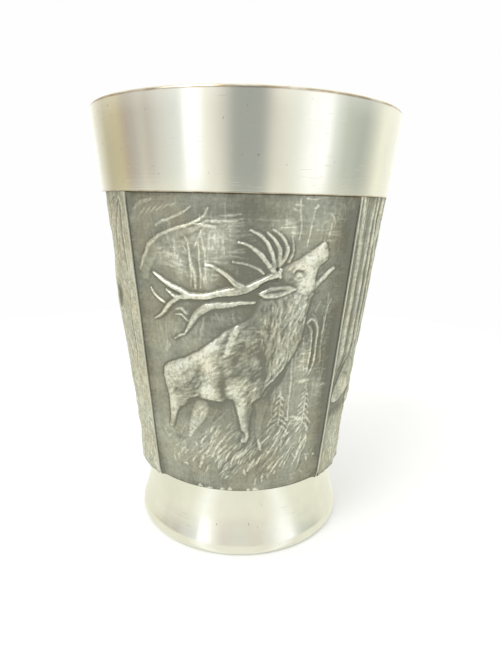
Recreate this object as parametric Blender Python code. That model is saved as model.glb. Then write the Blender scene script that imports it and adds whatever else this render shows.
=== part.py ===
"""A pewter shot cup, 60 mm tall, standing on z = 0 with its axis on Z.

A spun liner holds the drink. A turned rim band caps the liner, four cast
relief panels and the four ribs that cover their joints are soldered round it,
and a turned foot ring with a pressed base disc carries it. -Y is the front.
"""
import math

import bmesh
import bpy
from mathutils import Matrix

MM = 0.001
TURNED_STEPS = 72
ARC_STEPS = 5

# driving dimensions, in millimetres
HEIGHT = 60.0
LIP_RADIUS = 21.25
RIM_LOW = 49.28
RIM_LOW_RADIUS = 20.18
RELIEF_LOW = 10.16
RELIEF_LOW_RADIUS = 15.98
FOOT_RADIUS = 15.85
NECK_RADIUS = 14.6
NECK_HEIGHT = 7.2
GAP = 0.3

# the wall, from the inside out
MOUTH_RADIUS = 19.75
BORE_SLOPE = 0.118
LINER_WALL = 0.55
PANEL_PLATE = 0.55
RELIEF_HOLLOW = 0.2
CUP_FLOOR = 8.6
FLOOR_THICKNESS = 1.3
FLOOR_ROUND = 3.2
RIM_STEP = 57.0
LIP_ROUND = 0.4
EDGE_CHAMFER = 0.12

# the foot
FOOT_TOP_RADIUS = 14.85
FLARE = [(0.04, 8.6), (0.0, NECK_HEIGHT), (0.17, 5.5), (0.48, 4.0), (0.73, 3.0), (0.97, 2.2)]
FOOT_CHAMFER = 0.3
FOOT_ROUND = 0.75
SPIGOT_RADIUS = 13.7
FOOT_BORE = 11.9
BASE_RADIUS = 12.4
BASE_LOW = 1.2
BASE_THICKNESS = 1.0
BEAD_CIRCLE = 9.6
BEAD_RADIUS = 0.45

# the panels and their ribs
PANELS = ("front", "right", "back", "left")
RIB_WIDTH = 0.5
RIB_PROUD = 0.1
RIB_SEAT = 0.05
PANEL_STEPS = 18


def clear_scene():
    for thing in list(bpy.data.objects):
        bpy.data.objects.remove(thing, do_unlink=True)


def metal(name, colour, roughness):
    made = bpy.data.materials.new(name)
    made.use_nodes = True
    shader = made.node_tree.nodes["Principled BSDF"]
    shader.inputs["Base Color"].default_value = (*colour, 1.0)
    shader.inputs["Roughness"].default_value = roughness
    shader.inputs["Metallic"].default_value = 1.0
    return made


def finish(name, mesh_maker, material):
    """One object from a filled bmesh, in metres, shaded smooth except at its edges."""
    bmesh.ops.remove_doubles(mesh_maker, verts=mesh_maker.verts, dist=1e-6)
    bmesh.ops.recalc_face_normals(mesh_maker, faces=mesh_maker.faces)
    mesh = bpy.data.meshes.new(name)
    mesh_maker.to_mesh(mesh)
    mesh_maker.free()
    mesh.shade_smooth()
    mesh.set_sharp_from_angle(angle=math.radians(35))
    mesh.materials.append(material)
    made = bpy.data.objects.new(name, mesh)
    bpy.context.collection.objects.link(made)
    return made


def profile_loop(mesh_maker, points):
    """A closed outline of (radius, height) points, standing in the XZ plane."""
    corners = [mesh_maker.verts.new((r * MM, 0.0, z * MM)) for r, z in points]
    return [
        mesh_maker.edges.new((corners[i], corners[(i + 1) % len(corners)]))
        for i in range(len(corners))
        if points[i][0] > 0 or points[(i + 1) % len(points)][0] > 0
    ]


def turned(name, points, material):
    """A lathe-turned piece: the outline swept once round the Z axis."""
    mesh_maker = bmesh.new()
    edges = profile_loop(mesh_maker, points)
    bmesh.ops.spin(
        mesh_maker,
        geom=edges,
        cent=(0, 0, 0),
        axis=(0, 0, 1),
        angle=math.tau,
        steps=TURNED_STEPS,
        use_merge=True,
    )
    return finish(name, mesh_maker, material)


def arc(centre, radius, start, end, steps=ARC_STEPS):
    """Points of (radius, height) along a round edge, its angles in degrees."""
    angles = [math.radians(start + (end - start) * i / steps) for i in range(steps + 1)]
    return [(centre[0] + radius * math.cos(a), centre[1] + radius * math.sin(a)) for a in angles]


def bore(z):
    """Radius of the cup's inside at height z."""
    return MOUTH_RADIUS - BORE_SLOPE * (HEIGHT - z)


def relief(z):
    """Radius of the relief's highest surface at height z."""
    share = (z - RELIEF_LOW) / (RIM_LOW - RELIEF_LOW)
    return RELIEF_LOW_RADIUS + (RIM_LOW_RADIUS - RELIEF_LOW_RADIUS) * share


def panel_back(z):
    """Radius that the panels and ribs are soldered to, a gap outside the liner."""
    return max(relief(z) - PANEL_PLATE - RELIEF_HOLLOW, bore(z) + LINER_WALL + GAP)


def inner_cup(material):
    """The liner: a plain tapered beaker with a spigot that drops into the foot."""
    top = RIM_STEP - GAP
    under = CUP_FLOOR - FLOOR_THICKNESS
    taper = math.atan(BORE_SLOPE)
    corner_height = CUP_FLOOR + FLOOR_ROUND
    corner = (bore(corner_height) - FLOOR_ROUND / math.cos(taper), corner_height)
    outline = [
        (0.0, CUP_FLOOR),
        *arc(corner, FLOOR_ROUND, -90, -math.degrees(taper)),
        (bore(top), top),
        (bore(top) + LINER_WALL, top),
        (panel_back(RIM_LOW) - GAP, RIM_LOW),
        (panel_back(RELIEF_LOW) - GAP, RELIEF_LOW),
        (SPIGOT_RADIUS, RELIEF_LOW),
        (SPIGOT_RADIUS, under),
        (0.0, under),
    ]
    return turned("inner_cup", outline, material)


def rim_band(material):
    """The polished collar that caps the liner and carries the rounded lip."""
    low_bore = panel_back(RIM_LOW)
    step_bore = bore(RIM_STEP) + LINER_WALL + GAP
    outer_lip = (LIP_RADIUS - LIP_ROUND, HEIGHT - LIP_ROUND)
    inner_lip = (MOUTH_RADIUS + LIP_ROUND, HEIGHT - LIP_ROUND)
    outline = [
        (RIM_LOW_RADIUS, RIM_LOW + EDGE_CHAMFER),
        *arc(outer_lip, LIP_ROUND, 0, 90),
        *arc(inner_lip, LIP_ROUND, 90, 180),
        (bore(RIM_STEP), RIM_STEP),
        (step_bore, RIM_STEP),
        (low_bore, RIM_LOW),
        (RIM_LOW_RADIUS - EDGE_CHAMFER, RIM_LOW),
    ]
    return turned("rim_band", outline, material)


def foot_side(top):
    """The foot's outer side, from its top down: a neck that flares ever faster to the base."""
    flare = [(NECK_RADIUS + out, z) for out, z in FLARE]
    return [(FOOT_TOP_RADIUS, top), *flare, (FOOT_RADIUS - 0.09, 1.6), (FOOT_RADIUS, 1.0)]


def foot_ring(material):
    """The turned foot: flared outside, bored for the spigot above and the disc below."""
    top = RELIEF_LOW - GAP
    rounded = arc((FOOT_RADIUS - FOOT_ROUND, FOOT_ROUND), FOOT_ROUND, 0, -90, 4)
    spigot_bore = SPIGOT_RADIUS + GAP
    seat = CUP_FLOOR - FLOOR_THICKNESS - GAP
    disc_bore = BASE_RADIUS + GAP
    ledge = BASE_LOW + BASE_THICKNESS + GAP
    outline = [
        *foot_side(top),
        *rounded,
        (disc_bore + FOOT_CHAMFER, 0.0),
        (disc_bore, FOOT_CHAMFER),
        (disc_bore, ledge),
        (FOOT_BORE, ledge),
        (FOOT_BORE, seat),
        (spigot_bore, seat),
        (spigot_bore, top),
    ]
    return turned("foot_ring", outline, material)


def base_disc(material):
    """The disc that closes the foot: flat on top, with one raised bead underneath."""
    top = BASE_LOW + BASE_THICKNESS
    bead = arc((BEAD_CIRCLE, BASE_LOW), BEAD_RADIUS, 0, -180, 4)
    outline = [
        (0.0, top),
        (BASE_RADIUS, top),
        (BASE_RADIUS, BASE_LOW),
        *bead,
        (0.0, BASE_LOW),
    ]
    return turned("base_disc", outline, material)


def relief_panel(place, quarter, material):
    """One cast plate: a quarter of the cone less half a rib and a gap at each side."""
    low, high = RELIEF_LOW, RIM_LOW - GAP
    outline = [
        (relief(low) - RELIEF_HOLLOW, low),
        (relief(high) - RELIEF_HOLLOW, high),
        (panel_back(high), high),
        (panel_back(low), low),
    ]
    half_rib = RIB_WIDTH / 2 + GAP
    side = math.asin(half_rib / (RELIEF_LOW_RADIUS - 1.0))
    sweep = math.pi / 2 - 2 * side
    mesh_maker = bmesh.new()
    corners = [mesh_maker.verts.new((r * MM, 0.0, z * MM)) for r, z in outline]
    plate = mesh_maker.faces.new(corners)
    bmesh.ops.spin(
        mesh_maker,
        geom=[plate, *plate.edges, *plate.verts],
        cent=(0, 0, 0),
        axis=(0, 0, 1),
        angle=sweep,
        steps=PANEL_STEPS,
    )
    start = -math.pi / 2 + quarter * math.pi / 2 - sweep / 2
    bmesh.ops.rotate(mesh_maker, verts=mesh_maker.verts, matrix=Matrix.Rotation(start, 3, "Z"))
    return finish("relief_panel_" + place, mesh_maker, material)


def rib_section(z):
    """A rib's cross-section at height z: straight flanks and a rounded back."""
    inner = panel_back(z) + RIB_SEAT
    crown = relief(z) + RIB_PROUD
    half = RIB_WIDTH / 2
    rounded = [
        (crown - half + half * math.cos(a), half * math.sin(a))
        for a in (math.radians(d) for d in range(-75, 76, 30))
    ]
    return [(inner, -half), *rounded, (inner, half)]


def corner_rib(name, quarter, material):
    """The half-round strip over the joint between two panels, standing with the cone."""
    low, high = RELIEF_LOW, RIM_LOW - GAP
    mesh_maker = bmesh.new()
    rings = [
        [mesh_maker.verts.new((x * MM, y * MM, z * MM)) for x, y in rib_section(z)]
        for z in (low, high)
    ]
    count = len(rings[0])
    mesh_maker.faces.new(rings[0])
    mesh_maker.faces.new(rings[1])
    for i in range(count):
        j = (i + 1) % count
        mesh_maker.faces.new((rings[0][i], rings[0][j], rings[1][j], rings[1][i]))
    angle = -math.pi / 4 + quarter * math.pi / 2
    bmesh.ops.rotate(mesh_maker, verts=mesh_maker.verts, matrix=Matrix.Rotation(angle, 3, "Z"))
    return finish(name, mesh_maker, material)


def main():
    clear_scene()
    polished = metal("polished_pewter", (0.72, 0.70, 0.62), 0.28)
    satin = metal("satin_pewter", (0.62, 0.61, 0.56), 0.38)
    patinated = metal("patinated_pewter", (0.25, 0.25, 0.22), 0.5)
    rubbed = metal("rubbed_pewter", (0.42, 0.42, 0.38), 0.42)
    inner_cup(satin)
    rim_band(polished)
    foot_ring(polished)
    base_disc(satin)
    for quarter, place in enumerate(PANELS):
        relief_panel(place, quarter, patinated)
        neighbour = PANELS[(quarter + 1) % len(PANELS)]
        corner_rib(f"corner_rib_{place}_{neighbour}", quarter, rubbed)


main()
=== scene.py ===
"""A pewter shot cup: polished rim and foot, and four patinated panels of woodland relief."""

import math

import bpy
import numpy as np
from mathutils import Matrix, Vector


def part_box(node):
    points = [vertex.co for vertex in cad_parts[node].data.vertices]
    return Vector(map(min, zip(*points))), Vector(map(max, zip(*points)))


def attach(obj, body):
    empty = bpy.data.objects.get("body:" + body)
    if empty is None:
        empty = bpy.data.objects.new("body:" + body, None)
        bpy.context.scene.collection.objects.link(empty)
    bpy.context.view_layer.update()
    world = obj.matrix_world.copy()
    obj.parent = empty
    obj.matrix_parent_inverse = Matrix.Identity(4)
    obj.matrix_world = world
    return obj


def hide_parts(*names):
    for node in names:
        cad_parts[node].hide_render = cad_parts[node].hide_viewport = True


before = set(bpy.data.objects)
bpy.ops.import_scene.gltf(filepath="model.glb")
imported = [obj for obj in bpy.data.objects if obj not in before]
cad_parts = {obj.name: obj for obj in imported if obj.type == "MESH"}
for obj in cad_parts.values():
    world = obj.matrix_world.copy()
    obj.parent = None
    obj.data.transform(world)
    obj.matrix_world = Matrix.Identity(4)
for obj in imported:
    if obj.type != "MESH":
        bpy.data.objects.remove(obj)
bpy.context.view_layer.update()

MM = 0.001

# corners of the CAD pieces' boxes, in metres
rim_low, rim_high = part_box("rim_band")
panel_low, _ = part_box("relief_panel_front")
_, foot_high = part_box("foot_ring")
liner_low, liner_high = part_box("inner_cup")
disc_low, disc_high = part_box("base_disc")

# heights and radii of the CAD pieces, in millimetres
HEIGHT = rim_high.z / MM
LIP_RADIUS = rim_high.x / MM
RIM_LOW = rim_low.z / MM
PANEL_LOW = panel_low.z / MM
FOOT_RADIUS = foot_high.x / MM
LINER_TOP = liner_high.z / MM
LINER_LOW = liner_low.z / MM
DISC_RADIUS = disc_high.x / MM
DISC_TOP = disc_high.z / MM
DISC_LOW = disc_low.z / MM

# sizes that the boxes don't give, in millimetres
RIM_LOW_RADIUS = 20.18
RELIEF_LOW_RADIUS = 15.98
NECK_RADIUS = 14.6
NECK_HEIGHT = 7.2
FOOT_TOP_RADIUS = 14.85
FOOT_ROUND = 0.75
MOUTH_RADIUS = 19.75
BORE_SLOPE = 0.118
CUP_FLOOR = 8.6
FLOOR_ROUND = 3.2
LIP_ROUND = 0.4
PANEL_DEPTH = 0.55
PANEL_BACK = 0.74
RIB_WIDTH = 0.33
RIB_PROUD = 0.08
SPIGOT_RADIUS = 13.9
LINER_WALL = 0.55
COLLAR_STEP = 0.6
RIM_EDGE = 0.1
FOOT_LEDGE = 1.0
FOOT_SLOPE = 0.4
FOOT_HEM = 0.35
DISC_BEAD_RADIUS = 9.6
DISC_BEAD = 0.45
DISC_RINGS = (7.2, 3.4)
DISC_RING_HALF = 0.14
DISC_RING_RISE = 0.1
DISC_MARK_RADIUS = 0.5
DISC_MARK_DEPTH = 0.25
RIB_FLARE = 1.6
RIB_SINK = 1.4
RIB_ROWS = 160
RIB_SIDES = 10
SEAM = 0.02
PANEL_TOP = RIM_LOW - SEAM
FOOT_TOP = PANEL_LOW - SEAM
TURNED_STEPS = 288
BACK_WEAR = 0.2
# the lip's brown stain, and the rim's lower edge darkened with grime and painted shade under its overhang;
# height and reach in millimetres
LIP_STAIN = (HEIGHT - 0.32, 0.2)
RIM_SHADE_AND_GRIME = (RIM_LOW, 0.2)


def relief_radius(z):
    """Radius of the relief's highest places at height z."""
    share = (z - PANEL_LOW) / (RIM_LOW - PANEL_LOW)
    return RELIEF_LOW_RADIUS + (RIM_LOW_RADIUS - RELIEF_LOW_RADIUS) * share


def bore(z):
    """Radius of the inside of the cup at height z."""
    return MOUTH_RADIUS - BORE_SLOPE * (HEIGHT - z)


# ---------------------------------------------------------------- camera and studio

# the camera in millimetres and degrees; the lamp, card and floor in metres
CAMERA_PLACE = (1.2, -76.44, 48.45)
CAMERA_PITCH = 14.66
CAMERA_ROLL = 1.3
CAMERA_LENS = 27.2
KEY_PLACE = (-0.32, -0.34, 0.5)
KEY_AIM = (0, 0, 0.03)
KEY_SIZE = 0.4
KEY_POWER = 1.6
KEY_COLOUR = (1.0, 1.0, 0.97)
CARD_HALF = 0.04
CARD_TALL = 0.14
CARD_AWAY = 0.078
CARD_MIDDLE = 0.003
FLOOR_HALF = 3.0


def add_camera():
    """The photograph's camera; its place is in millimetres and its angles are in degrees."""
    data = bpy.data.cameras.new("camera")
    data.lens = CAMERA_LENS
    data.clip_start = 0.002
    camera = new_object("camera", data)
    camera.matrix_world = (
        Matrix.Translation(Vector(CAMERA_PLACE) * MM)
        @ Matrix.Rotation(math.radians(90 - CAMERA_PITCH), 4, "X")
        @ Matrix.Rotation(math.radians(CAMERA_ROLL), 4, "Z")
    )
    bpy.context.scene.camera = camera


def node(tree, kind, values=None, **settings):
    """One shader node; values are numbers for its inputs, or sockets to link to them."""
    made = tree.nodes.new(kind)
    for key, value in settings.items():
        setattr(made, key, value)
    for key, value in (values or {}).items():
        if isinstance(value, bpy.types.NodeSocket):
            tree.links.new(value, made.inputs[key])
        else:
            made.inputs[key].default_value = value
    return made


def ramp(tree, factor, stops, smooth=False):
    """A colour ramp; each stop is a place from 0 to 1 and a grey or a colour."""
    made = node(tree, "ShaderNodeValToRGB", {"Fac": factor})
    band = made.color_ramp
    band.interpolation = "EASE" if smooth else "LINEAR"
    band.elements[0].position = stops[0][0]
    band.elements[1].position = stops[-1][0]
    for place, _ in stops[1:-1]:
        band.elements.new(place)
    for element, (_, tone) in zip(band.elements, stops):
        element.color = (*tone, 1.0) if isinstance(tone, tuple) else (tone, tone, tone, 1.0)
    return made.outputs["Color"]


def maths(tree, operation, a, b=0.0):
    """One operation on two values, which are numbers or sockets."""
    return node(tree, "ShaderNodeMath", {0: a, 1: b}, operation=operation).outputs[0]


def blend(tree, factor, a, b, mode="MIX"):
    """Two colours mixed, as sockets or as tuples of four."""
    values = {0: factor, 6: a, 7: b}
    return node(tree, "ShaderNodeMix", values, data_type="RGBA", blend_type=mode).outputs[2]


def between(tree, value, low, high, to_low, to_high, curve="LINEAR"):
    """A value carried from one range to another."""
    values = {"Value": value, "From Min": low, "From Max": high, "To Min": to_low, "To Max": to_high}
    return node(tree, "ShaderNodeMapRange", values, interpolation_type=curve).outputs[0]


def new_material(name):
    """A material made of nodes, and its tree."""
    made = bpy.data.materials.new(name)
    made.use_nodes = True
    return made, made.node_tree


def new_object(name, data):
    """An object in the scene that shows the data."""
    made = bpy.data.objects.new(name, data)
    bpy.context.scene.collection.objects.link(made)
    return made


def add_sheet(name, corners, material):
    """A flat sheet with four corners, in metres."""
    mesh = bpy.data.meshes.new(name)
    mesh.from_pydata(corners, [], [(0, 1, 2, 3)])
    mesh.materials.append(material)
    return new_object(name, mesh)


# the room round the cup: degrees from the front, towards the right, and half its light there
ROOM = [
    (-180, (0.58, 0.58, 0.56)),
    (-148, (0.56, 0.56, 0.53)),
    (-128, (0.39, 0.37, 0.30)),
    (-119, (0.31, 0.285, 0.20)),
    (-100, (0.34, 0.30, 0.195)),
    (-92, (0.275, 0.23, 0.19)),
    (-84, (0.285, 0.265, 0.25)),
    (-77, (0.36, 0.345, 0.30)),
    (-71, (0.31, 0.285, 0.265)),
    (-60, (0.40, 0.40, 0.38)),
    (-45, (0.45, 0.475, 0.465)),
    (-39, (0.85, 0.86, 0.90)),
    (-34, (0.80, 0.81, 0.83)),
    (-27, (0.56, 0.56, 0.525)),
    (-17, (0.42, 0.40, 0.37)),
    (0, (0.43, 0.43, 0.40)),
    (22, (0.43, 0.41, 0.37)),
    (36, (0.51, 0.52, 0.49)),
    (46, (0.65, 0.66, 0.67)),
    (59, (0.74, 0.745, 0.765)),
    (65, (0.47, 0.50, 0.485)),
    (75, (0.315, 0.34, 0.305)),
    (92, (0.255, 0.275, 0.255)),
    (102, (0.35, 0.36, 0.32)),
    (116, (0.53, 0.53, 0.46)),
    (140, (0.53, 0.53, 0.48)),
    (180, (0.58, 0.58, 0.56)),
]
# the table mirrors the two bright panels faintly
TABLE = [
    (-180, (0.50, 0.50, 0.435)),
    (-58, (0.50, 0.50, 0.435)),
    (-40, (0.62, 0.63, 0.61)),
    (-22, (0.51, 0.51, 0.45)),
    (32, (0.51, 0.51, 0.45)),
    (50, (0.63, 0.64, 0.62)),
    (68, (0.50, 0.50, 0.435)),
    (180, (0.50, 0.50, 0.435)),
]
CEILING_TONE = (0.62, 0.62, 0.60, 1)
CARD_TONE = (0.225, 0.235, 0.225, 1)
PAPER_TONE = (0.99, 0.99, 0.99, 1)
FLOOR_TONE = (0.86, 0.865, 0.87, 1)


def add_room():
    """Soft light from every side: tall pale panels with darker gaps, over a white table."""
    world = bpy.data.worlds.new("studio")
    bpy.context.scene.world = world
    world.use_nodes = True
    tree = world.node_tree
    tree.nodes.clear()
    where = node(tree, "ShaderNodeTexCoord").outputs["Generated"]
    axes = node(tree, "ShaderNodeSeparateXYZ", {0: where}).outputs
    forwards = maths(tree, "MULTIPLY", axes["Y"], -1.0)
    turn = maths(tree, "ARCTAN2", axes["X"], forwards)
    share = maths(tree, "ADD", maths(tree, "DIVIDE", turn, math.tau), 0.5)
    walls, table = (
        ramp(tree, share, [((degrees + 180) / 360, tone) for degrees, tone in tones])
        for tones in (ROOM, TABLE)
    )
    height = maths(tree, "ADD", maths(tree, "MULTIPLY", axes["Z"], 0.5), 0.5)
    above_table = ramp(tree, height, [(0.36, 0.0), (0.45, 1.0)], smooth=True)
    in_ceiling = ramp(tree, height, [(0.50, 0.0), (0.82, 1.0)])
    tones = blend(tree, above_table, table, walls)
    tones = blend(tree, in_ceiling, tones, CEILING_TONE)
    light = node(tree, "ShaderNodeBackground", {"Color": tones, "Strength": 2.0})
    paper = node(tree, "ShaderNodeBackground", {"Color": PAPER_TONE, "Strength": 1.0})
    seen = node(tree, "ShaderNodeLightPath").outputs["Is Camera Ray"]
    both = node(tree, "ShaderNodeMixShader", {0: seen, 1: light.outputs[0], 2: paper.outputs[0]})
    node(tree, "ShaderNodeOutputWorld", {"Surface": both.outputs[0]})
    bpy.context.scene.view_settings.view_transform = "Standard"


def add_key_light():
    """A broad, soft lamp from the upper left."""
    data = bpy.data.lights.new("key_light", "AREA")
    data.shape = "DISK"
    data.size = KEY_SIZE
    data.energy = KEY_POWER
    data.color = KEY_COLOUR
    lamp = new_object("key_light", data)
    lamp.location = KEY_PLACE
    aim = Vector(KEY_AIM) - Vector(KEY_PLACE)
    lamp.rotation_euler = aim.to_track_quat("-Z", "Y").to_euler()
    lamp.visible_camera = False


def dark_felt():
    """A dark glow that fades to nothing at the card's edges."""
    felt, tree = new_material("dark_felt")
    tree.nodes.clear()
    where = node(tree, "ShaderNodeTexCoord").outputs["Object"]
    axes = node(tree, "ShaderNodeSeparateXYZ", {0: where}).outputs
    aside = maths(tree, "ABSOLUTE", maths(tree, "SUBTRACT", axes["X"], CARD_MIDDLE))
    shade = 1.0
    for value, start, end, first, last in (
        (aside, 0.008, 0.026, 1.0, 0.0),
        (axes["Z"], 0.014, 0.034, 0.0, 1.0),
        (axes["Z"], 0.09, 0.13, 1.0, 0.0),
    ):
        soft = between(tree, value, start, end, first, last, "SMOOTHSTEP")
        shade = maths(tree, "MULTIPLY", soft, shade)
    dark = node(tree, "ShaderNodeEmission", {"Color": CARD_TONE, "Strength": 2.0}).outputs[0]
    clear = node(tree, "ShaderNodeBsdfTransparent").outputs[0]
    mixed = node(tree, "ShaderNodeMixShader", {0: shade, 1: clear, 2: dark})
    node(tree, "ShaderNodeOutputMaterial", {"Surface": mixed.outputs[0]})
    return felt


def add_card():
    """A dark card facing the cup, soft at its edges, that shades the middle of the polished rim."""
    corners = [
        (side * CARD_HALF, -CARD_AWAY, height)
        for side, height in ((-1, 0.0), (1, 0.0), (1, CARD_TALL), (-1, CARD_TALL))
    ]
    card = add_sheet("card", corners, dark_felt())
    card.visible_camera = False
    card.visible_diffuse = False
    card.visible_shadow = False


def table_paper():
    """Pale matt paper that clears a little way from the cup, where the backdrop takes over."""
    paper, tree = new_material("table_paper")
    shader = tree.nodes["Principled BSDF"]
    shader.inputs["Base Color"].default_value = FLOOR_TONE
    shader.inputs["Roughness"].default_value = 0.9
    shader.inputs["Specular IOR Level"].default_value = 0.2
    where = node(tree, "ShaderNodeTexCoord").outputs["Object"]
    away = node(tree, "ShaderNodeVectorMath", {0: where}, operation="LENGTH").outputs["Value"]
    fade = between(tree, away, 0.06, 0.16, 0.0, 1.0)
    clear = node(tree, "ShaderNodeBsdfTransparent").outputs[0]
    mixed = node(tree, "ShaderNodeMixShader", {0: fade, 1: shader.outputs[0], 2: clear})
    tree.links.new(mixed.outputs[0], tree.nodes["Material Output"].inputs["Surface"])
    return paper


def add_floor():
    """A pale table under the cup."""
    corners = [(x * FLOOR_HALF, y * FLOOR_HALF, 0) for x, y in ((-1, -1), (1, -1), (1, 1), (-1, 1))]
    floor = add_sheet("floor", corners, table_paper())
    floor.visible_glossy = False


add_camera()
add_room()
add_card()
add_key_light()
add_floor()


# ---------------------------------------------------------------- relief toolkit

MIDDLE_RADIUS = 17.69
PANEL_WIDTH = 27.3
PANEL_HEIGHT = PANEL_TOP - PANEL_LOW
COLUMNS = 254
ROWS = 374
HEIGHT_SCALE = 0.66
HEIGHT_KNEE = 0.36
HEIGHT_SPARE = 0.22
MARGIN_RISE = 0.47
WEAR_KNEE = 0.6
WEAR_SPARE = 0.4


def spline(points, per_span=6, closed=False):
    """A smooth curve through the points (Catmull-Rom), as an array of points."""
    given = np.asarray(points, float)
    if closed:
        ends = np.vstack([given[-1], given, given[:2]])
    else:
        ends = np.vstack([2 * given[0] - given[1], given, 2 * given[-1] - given[-2]])
    share = np.linspace(0, 1, per_span, endpoint=False)[:, None]
    out = []
    for a, b, c, d in zip(ends[:-3], ends[1:-2], ends[2:-1], ends[3:]):
        cubic = 3 * (b - c) + d - a
        square = 2 * a - 5 * b + 4 * c - d
        out.append(b + 0.5 * share * (c - a + share * (square + share * cubic)))
    if not closed:
        out.append(given[-1:])
    return np.vstack(out)


def beyond(place, reach, angle):
    """The point at a distance from a place; the angle is in radians."""
    return place[0] + reach * math.cos(angle), place[1] + reach * math.sin(angle)


def halfway(a, b, across=0.0, up=0.0):
    """The point between two others, moved a little."""
    return 0.5 * (a[0] + b[0]) + across, 0.5 * (a[1] + b[1]) + up


def blur(field, across, up=None):
    """Gaussian blur; the radii are in millimetres."""
    up = across if up is None else up
    sigmas = (up * (ROWS - 1) / PANEL_HEIGHT, across * (COLUMNS - 1) / PANEL_WIDTH)
    for axis, sigma in enumerate(sigmas):
        if sigma < 0.2:
            continue
        reach = int(3 * sigma) + 1
        weights = np.exp(-0.5 * (np.arange(-reach, reach + 1) / sigma) ** 2)
        weights /= weights.sum()
        pad = [(0, 0), (0, 0)]
        pad[axis] = (reach, reach)
        padded = np.moveaxis(np.pad(field, pad, mode="edge"), axis, 0)
        length = field.shape[axis]
        summed = sum(w * padded[i : i + length] for i, w in enumerate(weights))
        field = np.moveaxis(summed, 0, axis)
    return field


def sampled(field, rows, columns):
    """The field read between its grid points."""
    rows = np.clip(rows, 0, ROWS - 1.001)
    columns = np.clip(columns, 0, COLUMNS - 1.001)
    i, j = rows.astype(int), columns.astype(int)
    a, b = rows - i, columns - j
    low = field[i, j] * (1 - b) + field[i, j + 1] * b
    high = field[i + 1, j] * (1 - b) + field[i + 1, j + 1] * b
    return low * (1 - a) + high * a


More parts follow.
